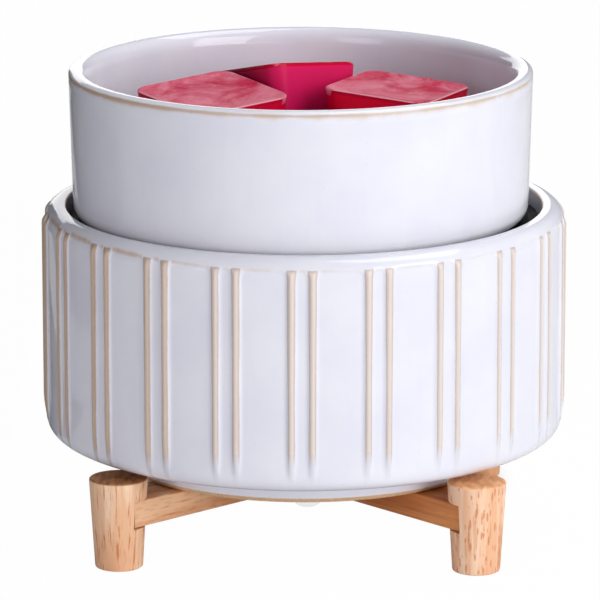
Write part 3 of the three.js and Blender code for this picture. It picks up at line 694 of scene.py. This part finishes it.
def make_bush(finish):
    outer = PANEL_RADIUS + SEAT
    inner = math.sqrt(INNER_WALL_RADIUS ** 2 - BUSH_FLANGE_RADIUS ** 2) - 2 * SEAT
    profile = softened([
        (BUSH_BORE_RADIUS, inner, 0),
        (BUSH_BORE_RADIUS, inner - BUSH_FLANGE, 0.2 * MM),
        (BUSH_FLANGE_RADIUS, inner - BUSH_FLANGE, 0.4 * MM),
        (BUSH_FLANGE_RADIUS, inner, TIGHT_ROUND),
        (BUSH_NECK_RADIUS, inner, TIGHT_ROUND),
        (BUSH_NECK_RADIUS, outer, TIGHT_ROUND),
        (BUSH_FLANGE_RADIUS, outer, TIGHT_ROUND),
        (BUSH_FLANGE_RADIUS, outer + BUSH_FLANGE, 0.6 * MM),
        (BUSH_BORE_RADIUS, outer + BUSH_FLANGE, 0.4 * MM),
        (BUSH_BORE_RADIUS, outer, 0),
    ])
    points, faces = turned(profile, 48, True)
    new_piece("cord_bush", outward(points), faces, finish, "warmer", "grommet", ["cord_grommet"])


# The dish
def dish_rim():
    inner = DISH_RADIUS - DISH_WALL
    rim = softened([
        (DISH_RADIUS - 0.1 * MM, DISH_TOP - 4 * MM, 0),
        (DISH_RADIUS, DISH_TOP - 0.7 * MM, 0.7 * MM),
        (DISH_RADIUS - 1.4 * MM, DISH_TOP, 0.9 * MM),
        (inner + 1.6 * MM, DISH_TOP - 0.2 * MM, 1.6 * MM),
        (inner, DISH_TOP - 2.6 * MM, 2.2 * MM),
        (inner - 0.1 * MM, DISH_TOP - 7 * MM, 0),
    ], 7)
    rim[1:1] = [(DISH_RADIUS - SKIN, DISH_TOP - (3.6 - 0.3 * i) * MM) for i in range(8)]
    return rim


def dish_profile():
    foot = DISH_RADIUS - DISH_TAPER
    floor = DISH_BASE + DISH_FLOOR
    hollow = DISH_BASE + DISH_HOLLOW
    ring = foot - DISH_CORNER - DISH_RING_WIDTH
    under = [(0, hollow), (DISH_HOLLOW_RADIUS, hollow),
             (ring - DISH_RING_SLOPE, hollow), (ring, DISH_BASE)]
    outer = arc(foot - DISH_CORNER, DISH_BASE + DISH_CORNER, DISH_CORNER, -90, 0, 8)
    rim = dish_rim()
    (r0, z0), (r1, z1) = outer[-1], rim[0]
    wall = [(r0 + (r1 - r0) * i / 8, z0 + (z1 - z0) * i / 8) for i in range(1, 8)]
    inner = arc(foot - DISH_WALL - DISH_INNER_CORNER, floor + DISH_INNER_CORNER, DISH_INNER_CORNER,
                0, -90, 12)
    return under + outer + wall + rim + inner + [(DISH_HOLLOW_RADIUS, floor), (0, floor)]


def dish_edge(p):
    """The tan line just under the rim, wider to the right, and painted weaker on the lit right as painted
    light.
    """
    r = (p.xy - DISH_MIDDLE.xy).length
    side = p.x / r
    down = DISH_TOP - DISH_LINE_DROP - p.z
    fall = (1.15 + 0.6 * smooth(side, -0.2, 0.6)) * MM
    line = math.exp(-down / fall) if down > 0 else clamp(1 + down / DISH_LINE_RISE)
    return line * (1.25 - 0.3 * smooth(side, -0.8, 0.9)) * (r > DISH_RADIUS - DISH_LINE_DEPTH)


def make_dish(finish):
    form = turned(dish_profile(), 240, at=(DISH_MIDDLE.x, DISH_MIDDLE.y))
    dish = new_piece("glazed_dish", *form, finish, "dish", "glaze", ["melt_dish"])
    # Painted shade on the dish's left side, as on the drum.
    mark(dish, "shaded_side", shaded_side)
    mark(dish, "crest", lambda p: 0)
    mark(dish, "run", lambda p: 1)
    mark(dish, "edge", dish_edge)
    mark(dish, "bare", lambda p: p.z < DISH_BASE + DISH_BARE_HEIGHT)


# Wax
def rounded_square(side, corner, level, steps=8):
    """A ring round a square with round corners, with points along its sides too."""
    reach = side / 2 - corner
    ring = []
    for quarter in range(4):
        turn = math.radians(quarter * 90)
        mid = Vector((reach * (1 if quarter in (0, 3) else -1), reach * (1 if quarter in (0, 1) else -1)))
        for step in range(steps + 1):
            angle = turn + math.radians(90 * step / steps)
            out = corner * math.cos(angle), corner * math.sin(angle)
            ring.append(Vector((mid.x + out[0], mid.y + out[1], level)))
        following = Vector((-mid.y + out[0], mid.x + out[1], level))
        last = ring[-1]
        ring += [last.lerp(following, i / 10) for i in range(1, 10)]
    return ring


def wax_rings(rim_round):
    def side_at(level):
        return WAX_BASE + (WAX_TOP - WAX_BASE) * level / WAX_HEIGHT

    rings = []
    for i in range(8):
        angle = math.radians(90 * i / 7)
        level = WAX_BASE_ROUND * (1 - math.cos(angle))
        inset = WAX_BASE_ROUND * (1 - math.sin(angle))
        rings.append(rounded_square(side_at(level) - 2 * inset, WAX_CORNER - inset, level))
    shoulder = WAX_HEIGHT - rim_round
    for i in range(1, 15):
        level = WAX_BASE_ROUND + (shoulder - WAX_BASE_ROUND) * i / 14
        rings.append(rounded_square(side_at(level), WAX_CORNER, level))
    for i in range(1, 5):
        angle = math.radians(90 * i / 4)
        inset = rim_round * (1 - math.cos(angle))
        level = shoulder + rim_round * math.sin(angle)
        rings.append(rounded_square(WAX_TOP - 2 * inset, WAX_CORNER - inset, level))
    for inset in WAX_INSETS:
        dip = WAX_DIP * (1 - math.exp(-(inset - WAX_DIP_START) / WAX_DIP_FALL))
        corner = max(WAX_LEAST_CORNER, WAX_CORNER - inset * MM * 0.45)
        rings.append(rounded_square(WAX_TOP - 2 * inset * MM, corner, WAX_HEIGHT - dip))
    return rings


def inward(spot):
    """How far a point of an upright cube lies in from the square of its open face."""
    return WAX_TOP / 2 - max(abs(spot.x), abs(spot.y))


def poured_wave(spot, seed):
    """How far the poured face stands above or below its mean level."""
    top = smooth(spot.z, WAX_HEIGHT - 1.5 * MM, WAX_HEIGHT - 0.9 * MM)
    inner = smooth(inward(spot), 1 * MM, 4 * MM)
    swell = noise.noise(spot * SWELL_SCALE + Vector((seed, 0, 0))) * SWELL_SHARE
    ripple = noise.noise(spot * RIPPLE_SCALE + Vector((0, seed, 0))) * RIPPLE_SHARE
    return (swell + ripple - WAVE_DROP) * MM * top * inner


def make_wax(side, lean, turn, middle, finish, shaded, rim_round=WAX_RIM_ROUND):
    """lean and turn are in degrees, middle in millimetres. shaded is the way that the darkest side looks;
    that side gets painted shade.
    """
    seed = middle[0] * 0.1
    points, faces = ring_skin(wax_rings(rim_round))
    points = [Vector(p) for p in points]
    spin = Euler((math.radians(lean[0]), math.radians(lean[1]), math.radians(turn))).to_matrix()
    placed = []
    for point in points:
        spot = point.copy()
        spot.z += poured_wave(point, seed)
        placed.append(spin @ spot)
    node = "wax_cube_" + side
    lift = low(node).z - min(p.z for p in placed)
    placed = [p + Vector((middle[0] * MM, middle[1] * MM, lift)) for p in placed]
    cube = new_piece("wax_" + side, placed, faces, finish, "wax_" + side, "wax", [node])
    face_inset = max(0.2 * MM, rim_round - 0.2 * MM)
    lip_width = 0.2 * MM if rim_round == WAX_RIM_ROUND else SKIN
    write_marks(cube, "poured", [smooth(p.z, WAX_HEIGHT - 1.35 * MM, WAX_HEIGHT - 0.95 * MM)
                                 * (inward(p) > face_inset) for p in points])
    write_marks(cube, "upward", [clamp(p.z / WAX_HEIGHT) for p in points])
    write_marks(cube, "lip", [p.z > WAX_HEIGHT - lip_width for p in points])
    # Painted shade: the deep mark darkens the side of the cube that the shaded way points to.
    heart = sum(placed, Vector()) / len(placed)
    away = Vector(shaded).normalized()
    mark(cube, "deep", lambda p: smooth((p - heart).normalized().dot(away), 0.3, 0.85))


# The stand
def make_leg(node, angle, finish):
    rise = LEG_TOP_RADIUS - LEG_FOOT_RADIUS
    dip = LEG_HEIGHT - LEG_TOP_DIP
    profile = softened([
        (0, 0, 0),
        (LEG_FOOT_RADIUS, 0, LEG_FOOT_ROUND),
        (LEG_FOOT_RADIUS + rise * 0.5, LEG_HEIGHT / 2, 0),
        (LEG_TOP_RADIUS, LEG_HEIGHT, LEG_TOP_ROUND),
        (LEG_TOP_RADIUS - LEG_TOP_BORDER, dip, 0),
        (0, dip, 0),
    ], 4)
    points, faces = turned(profile, 72)
    spin = Matrix.Rotation(math.radians(angle), 3, "Z")
    placed = [spin @ (Vector(p) + Vector((LEG_CIRCLE, 0, 0))) for p in points]
    leg = new_piece("turned_" + node, placed, faces, finish, "stand", "wood", [node])
    reach = 2 * LEG_TOP_RADIUS
    notch = box_form((NOTCH_FACE - reach, -reach, BRACE_BASE - SEAT),
                     (NOTCH_FACE + SEAT, reach, BRACE_TOP + SEAT), math.radians(angle))
    cut_away(leg, *notch)
    settle(leg, finish, "stand")
    mark(leg, "endgrain", lambda p: smooth(p.z, LEG_HEIGHT - 0.45 * MM, LEG_HEIGHT - 0.15 * MM))
    mark(leg, "end_grain_and_gap_shade", lambda p: 0)


def make_brace(node, angle, lap_from_top, finish):
    end = NOTCH_FACE - SEAT
    half = BRACE_WIDTH / 2
    form = box_form((-end, -half, BRACE_BASE), (end, half, BRACE_TOP))
    brace = new_piece("planed_" + node, *form, finish, "stand", "wood", [node])
    lap = half + SEAT
    middle = (BRACE_BASE + BRACE_TOP) / 2
    if lap_from_top:
        cutter = box_form((-lap, -2 * half, middle - SEAT / 2), (lap, 2 * half, BRACE_TOP + SEAT))
    else:
        cutter = box_form((-lap, -2 * half, BRACE_BASE - SEAT), (lap, 2 * half, middle + SEAT / 2))
    cut_away(brace, *cutter)
    solid = bmesh.new()
    solid.from_mesh(brace.data)
    bmesh.ops.remove_doubles(solid, verts=solid.verts, dist=1e-6)
    bmesh.ops.bevel(solid, geom=solid.edges[:], offset=BRACE_EDGE, segments=3, profile=0.6, affect="EDGES",
                    clamp_overlap=True)
    solid.transform(Matrix.Rotation(math.radians(angle), 4, "Z"))
    solid.to_mesh(brace.data)
    solid.free()
    settle(brace, finish, "stand")
    along = Vector((math.cos(math.radians(angle)), math.sin(math.radians(angle)), 0))
    mark(brace, "endgrain", lambda p: 0)
    # The brace's ends are painted dark: darker end grain, and painted shade for the gap where the brace
    # meets the leg.
    mark(brace, "end_grain_and_gap_shade", lambda p: smooth(abs(p.dot(along)), end - 0.34 * MM, end - 0.2 * MM))


# Hot plate, bumpers and screws
def plate_stem(radius, upper, lower, circle, angle, columns):
    """One round boss or stud under the plate."""
    profile = softened([(0, lower, 0), (radius, lower, HAIR_ROUND), (radius, upper, 0), (0, upper, 0)], 3)
    form, sides = turned(profile, columns)
    place = Vector((circle * math.cos(angle), circle * math.sin(angle), 0))
    return [tuple(Vector(p) + place) for p in form], sides


def make_hot_plate(finish):
    sunk = PLATE_TOP - PLATE_STEP
    profile = softened([
        (0, PLATE_BASE, 0),
        (PLATE_RADIUS, PLATE_BASE, 0.2 * MM),
        (PLATE_RADIUS, PLATE_TOP, 0.7 * MM),
        (PLATE_RADIUS - PLATE_EDGE_WIDTH, PLATE_TOP, 0.4 * MM),
        (PLATE_RADIUS - PLATE_EDGE_WIDTH - PLATE_EDGE_SLOPE, sunk, 0.4 * MM),
        (0, sunk, 0),
    ])
    points, faces = turned(profile, 180)
    root = PLATE_BASE + STEM_OVERLAP
    lowest = low("hot_plate").z
    for i in range(3):
        angle = math.radians(30 + 120 * i)
        for stem in (plate_stem(BOSS_RADIUS, root, PLATE_BASE - BOSS_DROP, STUD_CIRCLE, angle, 32),
                     plate_stem(STUD_RADIUS, PLATE_BASE, PLATE_BASE - STUD_DROP, STUD_CIRCLE, angle, 20),
                     plate_stem(POST_SEAT_RADIUS, root, lowest, POST_CIRCLE, angle, 24)):
            start = len(points)
            points += stem[0]
            faces += [tuple(start + corner for corner in side) for side in stem[1]]
    new_piece("coated_hot_plate", points, faces, finish, "warmer", "hot_plate", ["hot_plate"])


def make_bumper(node, finish):
    bottom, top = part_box(node)
    radius = (top.x - bottom.x) / 2 - SKIN
    height = top.z - bottom.z
    profile = [(0, bottom.z)]
    for i in range(1, 13):
        turn = i / 12 * math.pi / 2
        drop = height * (0.12 + 0.88 * math.cos(turn) ** 1.2)
        profile.append((radius * math.sin(turn), top.z - drop))
    profile += [(radius, top.z - 0.05 * MM), (radius - 0.05 * MM, top.z), (0, top.z)]
    middle = (bottom + top) / 2
    form = turned(profile, 48, at=(middle.x, middle.y))
    new_piece("clear_" + node, *form, finish, "warmer", "clear_silicone", [node])


def make_screw(node, finish):
    bottom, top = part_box(node)
    middle = (bottom + top) / 2
    head = (top.x - bottom.x) / 2
    head_top = bottom.z + SCREW_HEAD_HEIGHT
    profile = softened([
        (0, bottom.z, 0),
        (head * SCREW_FLAT_SHARE, bottom.z, FINE_ROUND),
        (head, bottom.z + SCREW_DOME_HEIGHT, FINE_ROUND),
        (head, head_top, TIGHT_ROUND),
        (SCREW_NECK_RADIUS, head_top, 0.2 * MM),
    ])
    steps = SCREW_TURNS * 4
    for i in range(steps + 1):
        radius = SCREW_THREAD_RADIUS - SCREW_THREAD_DEPTH * (0.5 + 0.5 * math.cos(i * math.pi / 2))
        profile.append((radius, head_top + (top.z - head_top) * i / steps * 0.97))
    profile += [(0, top.z)]
    form = turned(profile, 36, at=(middle.x, middle.y))
    screw = new_piece(node.replace("cover", "pan_head"), *form, finish, "warmer", "steel", [node])
    for turn in (20, 110):
        points, faces = box_form((-CROSS_HALF_LENGTH, -CROSS_HALF_WIDTH, bottom.z - 1 * MM),
                                 (CROSS_HALF_LENGTH, CROSS_HALF_WIDTH, bottom.z + CROSS_DEPTH),
                                 math.radians(turn))
        cut_away(screw, [p + Vector((middle.x, middle.y, 0)) for p in points], faces)
    settle(screw, finish, "warmer")


# Finishes
def glaze():
    """Bluish-white glaze that breaks thin and tan over the crests and edges, over a bare tan foot, with
    painted shade that makes its tan browner on the left side.
    """
    g = Finish("reactive_white_glaze", Specular_IOR_Level=0.5, IOR=1.5)
    spot = g.place()
    crests, runs, edge, bare, on_shaded_side = (g.marks(m) for m in ("crest", "run", "edge", "bare", "shaded_side"))
    fine = g.cloud(900, 4, 0.6, spot)
    broad = g.cloud(60, 3, 0.5, spot)
    flow = g.cloud(230, 3, 0.55, g.place(scale=(1, 1, 0.12)))
    tone = g.mix(broad.rise(0.3, 0.7), paint(228, 229, 241), paint(233, 234, 243))
    pooled = g.mix(flow.rise(0.55, 0.8) * 0.35, tone, paint(222, 224, 240))
    thin = crests + (flow - 0.5) * 0.3 + (fine - 0.5) * 0.12 - (1 - runs.rise(0.3, 1.0)) * 0.1
    thin = thin.rise(0.32, 0.62)
    worn = thin * runs.rise(0.65, 0.97)
    faded = thin * runs.rise(0.35, 0.65) * (1 - runs.rise(0.65, 0.97))
    rims = (edge + (g.cloud(140, 4, 0.6, spot) - 0.55) + (fine - 0.5) * 0.2).rise(0.25, 1.0)
    tan = g.mix(crests.rise(0.45, 0.9) * 0.75 + fine * 0.25, paint(190, 158, 126), paint(230, 211, 192))
    # Painted shade: the tan is painted browner on the shaded left side.
    tan = g.mix(on_shaded_side * 0.6, tan, paint(180, 146, 114))
    brown = thin.rise(0.1, 0.5) * (1 - thin.rise(0.7, 1.0)) * runs.rise(0.62, 0.86)
    # The worn tan is painted stronger on the shaded left side: painted shade.
    colour = g.mix(worn * (0.66 + on_shaded_side * 0.3), pooled, tan)
    colour = g.mix(brown * 0.3, colour, paint(160, 128, 98))
    # The grey where the ribs run out is painted stronger on the shaded left side: painted shade.
    colour = g.mix(faded * (on_shaded_side * 0.3 + 0.15), colour, paint(176, 168, 170))
    golden = g.mix(edge.rise(0.5, 1.0) * 0.7 + flow * 0.3, paint(226, 208, 190), paint(190, 158, 124))
    # Painted shade: the golden edge lines are painted browner on the shaded left side.
    golden = g.mix(on_shaded_side * 0.6, golden, paint(184, 140, 98))
    colour = g.mix(rims * 0.8, colour, golden)
    speck = 1 - g.cells(260, spot).rise(0.02, 0.06)
    colour = g.mix(speck * 0.25, colour, paint(170, 155, 145))
    clay = g.mix(g.cloud(1500, 3, 0.6, spot).rise(0.3, 0.7), paint(214, 174, 134), paint(228, 196, 158))
    colour = g.mix(bare, colour, clay)
    rough = (worn.most(rims) * 0.22 + 0.07 + (fine - 0.5) * 0.03).most(bare * 0.75)
    waviness = g.bump(broad + flow * 0.25, 0.35 * MM, 0.35)
    pits = g.bump(fine * thin.most(bare), 0.08 * MM, 0.6, waviness)
    return g.feed(Base_Color=colour, Roughness=rough, Normal=pits)


PALE_ENDS = paint(250, 194, 144), paint(222, 156, 106)
# Painted shade: the darker end-grain colours below are for a leg top that lies in the drum's shadow.
SHADED_ENDS = paint(196, 136, 86), paint(150, 94, 54)


def wood(name, along, seed, light, dark, streaked=0.55, flecked=0.4, ends=PALE_ENDS, patched=0.25):
    """Pale satin hardwood. along is the turn that brings the grain's direction to Z."""
    w = Finish(name, Specular_IOR_Level=0.35)
    spot = w.place(turn=along, shift=(seed, seed * 0.7, seed * 0.3))
    grain = w.scaled(spot, (1, 1, 0.06))
    streak = w.cloud(1000, 4, 0.6, grain)
    figure = w.cloud(190, 3, 0.55, grain, 0.6)
    patch = w.cloud(70, 2, 0.5, w.scaled(spot, (1, 1, 0.35)))
    pores = w.cells(1150, w.scaled(spot, (1, 1, 0.22)))
    colour = w.mix(figure.rise(0.4, 0.62), light, dark)
    colour = w.mix(streak.rise(0.55, 0.64) * streaked, colour, paint(206, 120, 62))
    colour = w.mix(patch.rise(0.5, 0.66) * patched, colour, paint(212, 128, 70))
    fleck = (1 - pores.rise(0.25, 0.42)) * w.cloud(260, 2, 0.5, spot).rise(0.32, 0.44)
    colour = w.mix(fleck * flecked, colour, paint(204, 116, 56))
    rings = w.cloud(700, 4, 0.5, w.scaled(spot, (1, 0.3, 1)))
    colour = w.mix(w.marks("endgrain"), colour, w.mix(rings.rise(0.35, 0.65), *ends))
    # A dark band at the brace ends: darker end grain with painted shade in the gap of the joint.
    colour = w.mix(w.marks("end_grain_and_gap_shade"), colour, paint(96, 54, 30))
    relief_of_grain = w.bump(streak * 0.6 - fleck * 0.6, 0.08 * MM, 0.4)
    return w.feed(Base_Color=colour, Roughness=streak * 0.18 + 0.42, Normal=relief_of_grain)


def wax(side, seed, dark, bright):
    """Dyed wax: glossy moulded sides, painted dark at the foot, bright above and darker on one side as
    painted shade and light, and a frosted pink poured face.
    """
    w = Finish("red_wax_" + side, Specular_IOR_Level=0.09)
    spot = w.place(shift=(seed, 0, 0))
    poured, upward, lip = (w.marks(m) for m in ("poured", "upward", "lip"))
    swirl = w.cloud(70, 4, 0.6, spot, 0.8)
    frost = w.cloud(420, 4, 0.65, spot)
    # Painted shade and light: the sides run from the dark red at the foot to the bright red above.
    moulded = w.mix((upward + (swirl - 0.5) * 0.35).rise(0.1, 0.95), dark, bright)
    moulded = w.mix(upward.rise(0.945, 0.97), moulded, paint(200, 0, 46))
    # Painted shade: the shaded side of a cube is darkened to deep maroon.
    moulded = w.mix(w.marks("deep") * 0.8, moulded, paint(62, 0, 24))
    top = w.mix(swirl.rise(0.3, 0.68), paint(200, 32, 74), paint(232, 136, 156))
    top = w.mix(frost.rise(0.5, 0.75) * 0.35, top, paint(236, 168, 182))
    colour = w.mix(poured, moulded, top)
    colour = w.mix((lip - poured).most(0) * 0.8, colour, paint(246, 186, 198))
    rough = poured * 0.32 + 0.22 + frost * 0.06
    return w.feed(Base_Color=colour, Roughness=rough, Normal=w.bump(frost + swirl * 2, 0.12 * MM, 0.4))


def black_coat():
    b = Finish("black_heat_coat", Specular_IOR_Level=0.12)
    peel = b.cloud(1400, 3, 0.5)
    colour = b.mix(b.cloud(160).rise(0.4, 0.7), paint(7, 7, 8), paint(13, 13, 15))
    return b.feed(Base_Color=colour, Roughness=peel * 0.2 + 0.5, Normal=b.bump(peel, 0.06 * MM, 0.5))


def plain(name, first, second, scale, rough, depth, metal=0.0):
    """A finish with a fine mottle: two tones, a roughness that follows them, and a slight texture."""
    p = Finish(name, Metallic=metal)
    grain = p.cloud(scale, 4, 0.6)
    colour = p.mix(grain.rise(0.35, 0.65), first, second)
    roughness = grain.spread(rough * 0.8, rough * 1.2)
    return p.feed(Base_Color=colour, Roughness=roughness, Normal=p.bump(grain, depth, 0.5))


def felt():
    f = Finish("insulating_felt", Sheen_Weight=0.3)
    fibre = f.cloud(2600, 5, 0.7, f.place(scale=(1, 1, 2.5)), 2.0)
    colour = f.mix(fibre.rise(0.35, 0.65), paint(214, 208, 192), paint(238, 235, 224))
    return f.feed(Base_Color=colour, Roughness=fibre * 0.1 + 0.88, Normal=f.bump(fibre, 0.3 * MM, 0.8))


def mica():
    m = Finish("mica_sheet", Coat_Weight=0.2)
    flake = m.cells(700)
    colour = m.mix(flake.rise(0.1, 0.6), paint(196, 172, 124), paint(160, 132, 88))
    return m.feed(Base_Color=colour, Roughness=flake * 0.3 + 0.3, Normal=m.bump(flake, 0.05 * MM, 0.5))


def braid():
    """White glass-fibre sleeving."""
    b = Finish("glass_fibre_sleeve")
    strands = b.node("ShaderNodeTexWave", {"wave_type": "BANDS", "bands_direction": "DIAGONAL"},
                     {"Vector": b.place(), "Scale": 1800, "Distortion": 1.5, "Detail": 2}, output="Fac")
    colour = b.mix(strands, paint(206, 204, 194), paint(242, 241, 234))
    return b.feed(Base_Color=colour, Roughness=strands * 0.2 + 0.6, Normal=b.bump(strands, 0.1 * MM, 0.7))


def clear_silicone():
    s = Finish("clear_soft_silicone", Transmission_Weight=0.7, IOR=1.2, Alpha=0.12)
    haze = s.cloud(500)
    colour = s.mix(haze, paint(236, 236, 236), paint(248, 248, 248))
    return s.feed(Base_Color=colour, Roughness=haze * 0.12 + 0.1)


# Camera, floor and lights
def make_camera():
    lens = bpy.data.cameras.new("camera")
    lens.sensor_width = 36
    lens.lens = LENS
    camera = bpy.data.objects.new("camera", lens)
    camera.location = CAMERA_PLACE
    aim = Vector(CAMERA_AIM) - camera.location
    camera.rotation_euler = aim.to_track_quat("-Z", "Y").to_euler()
    bpy.context.scene.collection.objects.link(camera)
    bpy.context.scene.camera = camera


def make_lamp(name, place, aim, size, power, colour=(1, 1, 1)):
    lamp = bpy.data.lights.new(name, "AREA")
    lamp.shape = "RECTANGLE"
    lamp.size, lamp.size_y = size
    lamp.energy = power
    lamp.color = colour
    holder = bpy.data.objects.new(name, lamp)
    holder.location = place
    holder.rotation_euler = (Vector(aim) - Vector(place)).to_track_quat("-Z", "Y").to_euler()
    bpy.context.scene.collection.objects.link(holder)


def sheet(name, corners, finish, level=0.0):
    """A flat four-cornered piece of the studio."""
    mesh = bpy.data.meshes.new(name)
    mesh.from_pydata(corners, [], [(0, 1, 2, 3)])
    mesh.materials.append(finish.material)
    laid = bpy.data.objects.new(name, mesh)
    laid.location.z = level
    bpy.context.scene.collection.objects.link(laid)
    return laid


def sweep_paint():
    """A pale floor that glows to the camera alone, apart from a shaded patch under the drum."""
    s = Finish("white_sweep", Roughness=1.0, Specular_IOR_Level=0.0)
    s.feed(Base_Color=s.mix(s.cloud(20), paint(238, 238, 238), paint(242, 242, 242)))
    seen = s.node("ShaderNodeLightPath", output="Is Camera Ray")
    glow = s.node("ShaderNodeEmission", None, {"Color": (1, 1, 1, 1), "Strength": 1.0})
    spot = s.place()
    behind = s.node("ShaderNodeSeparateXYZ", None, {0: spot}, output="Y").rise(*SHADE_FRONT)
    away = s.node("ShaderNodeVectorMath", {"operation": "DISTANCE"}, {0: spot, 1: SHADE_HEART},
                  output="Value")
    share = seen * (1 - behind * (1 - away.rise(*SHADE_EDGE))) * FLOOR_GLOW
    painted = Value(s, s.shader.outputs[0])
    surface = s.node("ShaderNodeMixShader", None, {0: share, 1: painted, 2: glow})
    s.fill(s.tree.nodes["Material Output"].inputs["Surface"], surface)
    return s


def make_floor():
    reach = FLOOR_HALF
    corners = [(-reach, -reach, 0), (reach, -reach, 0), (reach, reach, 0), (-reach, reach, 0)]
    sheet("floor", corners, sweep_paint(), -FLOOR_DROP)


def make_flags():
    """Dark boards left of the object, one upright and one lying, which draw the edges of white ware."""
    card = plain("black_card", paint(22, 22, 24), paint(34, 34, 36), 40, 0.9, 0.1 * MM)
    upright = [(*FLAG_FRONT, 0), (*FLAG_BACK, 0), (*FLAG_BACK, FLAG_TOP), (*FLAG_FRONT, FLAG_TOP)]
    lying = [(*spot, LOW_CARD_LEVEL) for spot in LOW_CARD]
    for name, corners in (("flag", upright), ("low_card", lying)):
        sheet(name, corners, card).visible_camera = False


def make_world():
    """White to the camera and through clear pieces, dim to everything else."""
    world = bpy.data.worlds.new("studio")
    bpy.context.scene.world = world
    world.use_nodes = True
    tree = world.node_tree
    path = tree.nodes.new("ShaderNodeLightPath")
    shown = tree.nodes.new("ShaderNodeMath")
    shown.operation = "MAXIMUM"
    tree.links.new(path.outputs["Is Camera Ray"], shown.inputs[0])
    tree.links.new(path.outputs["Is Transmission Ray"], shown.inputs[1])
    background = tree.nodes["Background"]
    strength = tree.nodes.new("ShaderNodeMapRange")
    strength.inputs["To Min"].default_value = SURROUNDINGS
    strength.inputs["To Max"].default_value = 1.0
    tree.links.new(shown.outputs[0], strength.inputs["Value"])
    tree.links.new(strength.outputs[0], background.inputs["Strength"])
    background.inputs["Color"].default_value = (1, 1, 1, 1)


def make_studio():
    make_camera()
    make_floor()
    make_world()
    make_flags()
    make_lamp("key_right", (0.85, -0.75, 0.5), (0, 0, 0.06), (0.7, 0.95), 9.1)
    make_lamp("fill_left", (-0.6, -0.95, 0.35), (0, 0, 0.06), (0.5, 0.7), 2.65, (0.965, 0.93, 1))
    make_lamp("top", (0.3, 0.2, 1.05), (0, 0, 0.1), (0.8, 0.6), 5.2)
    make_lamp("low_front", (0.5, -1.1, 0.13), (0, 0, 0.02), (0.7, 0.18), 1.3)
    make_lamp("back_strip", (-0.45, 1.5, 0.36), (0, 0, 0.1), (1.3, 0.66), 4.4)
    bpy.context.scene.view_settings.view_transform = "Standard"


# Putting it together
def dress(node, finish):
    """Gives a carried-over piece its finish."""
    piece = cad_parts[node]
    piece.data.materials.clear()
    piece.data.materials.append(finish.material)


def make_stand():
    pale, deep = paint(246, 208, 176), paint(232, 188, 152)
    # Painted shade: the front left leg's top takes the darkened end-grain colours, as it lies in the drum's
    # shadow, and the rear right leg's darker wood stands for the shade it stands in.
    legs = {"leg_front_left": (225, 0.31, paint(255, 224, 194), paint(242, 192, 152), 0.8, 0.12, SHADED_ENDS),
            "leg_front_right": (315, 0.83, paint(252, 216, 186), paint(238, 186, 148), 0.35, 0.65),
            "leg_rear_left": (135, 1.27, pale, deep, 0.5, 0.4),
            "leg_rear_right": (45, 1.71, paint(214, 160, 116), paint(190, 134, 92), 0.5, 0.4)}
    for node, (angle, seed, *look) in legs.items():
        make_leg(node, angle, wood("wood_" + node, (0, 0, 0), seed, *look))
    # brace_upper's darker, more orange wood is partly its own tone and partly painted shade on the arm that
    # faces away from the light.
    braces = {"brace_lower": (45, True, paint(250, 202, 160), paint(234, 176, 130)),
              "brace_upper": (-45, False, paint(220, 148, 90), paint(182, 104, 54))}
    for node, (angle, lap, light, dark) in braces.items():
        grain = (math.radians(90), math.radians(angle - 90), 0)
        planed = wood("wood_" + node, grain, 2.3 + angle / 100, light, dark, 0.75, 0.2, patched=0.6)
        make_brace(node, angle, lap, planed)
    peg = wood("wood_dowels", (0, 0, 0), 4.1, pale, deep)
    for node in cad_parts:
        if node.startswith("dowel"):
            dress(node, peg)


def make_inner_pieces():
    steel = plain("zinc_plate", paint(176, 180, 186), paint(206, 209, 214), 900, 0.34, 0.03 * MM, 1.0)
    nylon = plain("natural_nylon", paint(222, 216, 192), paint(236, 232, 212), 700, 0.45, 0.03 * MM)
    cover = plain("black_cover_paint", paint(20, 20, 22), paint(34, 34, 37), 1800, 0.5, 0.12 * MM)
    gasket = plain("rust_red_silicone", paint(118, 48, 34), paint(140, 66, 50), 800, 0.6, 0.05 * MM)
    sleeve, felt_pad, mica_sheet = braid(), felt(), mica()
    kinds = {"clamp": steel, "spacer": steel, "fuse": steel, "wire": nylon, "bottom": cover, "plate": gasket,
             "lead": sleeve, "thermal": sleeve, "insulation": felt_pad, "heating": mica_sheet}
    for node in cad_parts:
        kind = kinds.get(node.split("_")[0])
        if kind:
            dress(node, kind)
    for i in (1, 2, 3):
        make_screw(f"cover_screw_{i}", steel)


def make_cubes():
    # Each cube's dark and bright reds set its painted shade at the foot and its painted light above.
    left = wax("left", 0.4, paint(160, 0, 40), paint(216, 0, 52))
    make_wax("left", (4.8, -3.4), 38.4, (-24.6, 1.8), left, (-0.8, -0.4, -0.5))
    right = wax("right", 1.3, paint(140, 0, 30), paint(232, 0, 48))
    make_wax("right", (-0.4, 3.4), -24, (23, 12.6), right, (-0.9, 0, -0.6))
    rear = wax("rear", 2.2, paint(150, 0, 56), paint(226, 34, 100))
    make_wax("rear", (-13.4, 6.3), 44.4, (-5.4, 22.6), rear, (-0.9, -0.4, 0), WAX_REAR_RIM_ROUND)


make_studio()
white_glaze = glaze()
make_drum(white_glaze)
make_dish(white_glaze)
make_hot_plate(black_coat())
make_bush(plain("pale_rubber", paint(196, 196, 200), paint(212, 212, 215), 900, 0.6, 0.05 * MM))
clear = clear_silicone()
for side in ("front", "rear", "left", "right"):
    make_bumper("bumper_" + side, clear)
make_stand()
make_inner_pieces()
make_cubes()
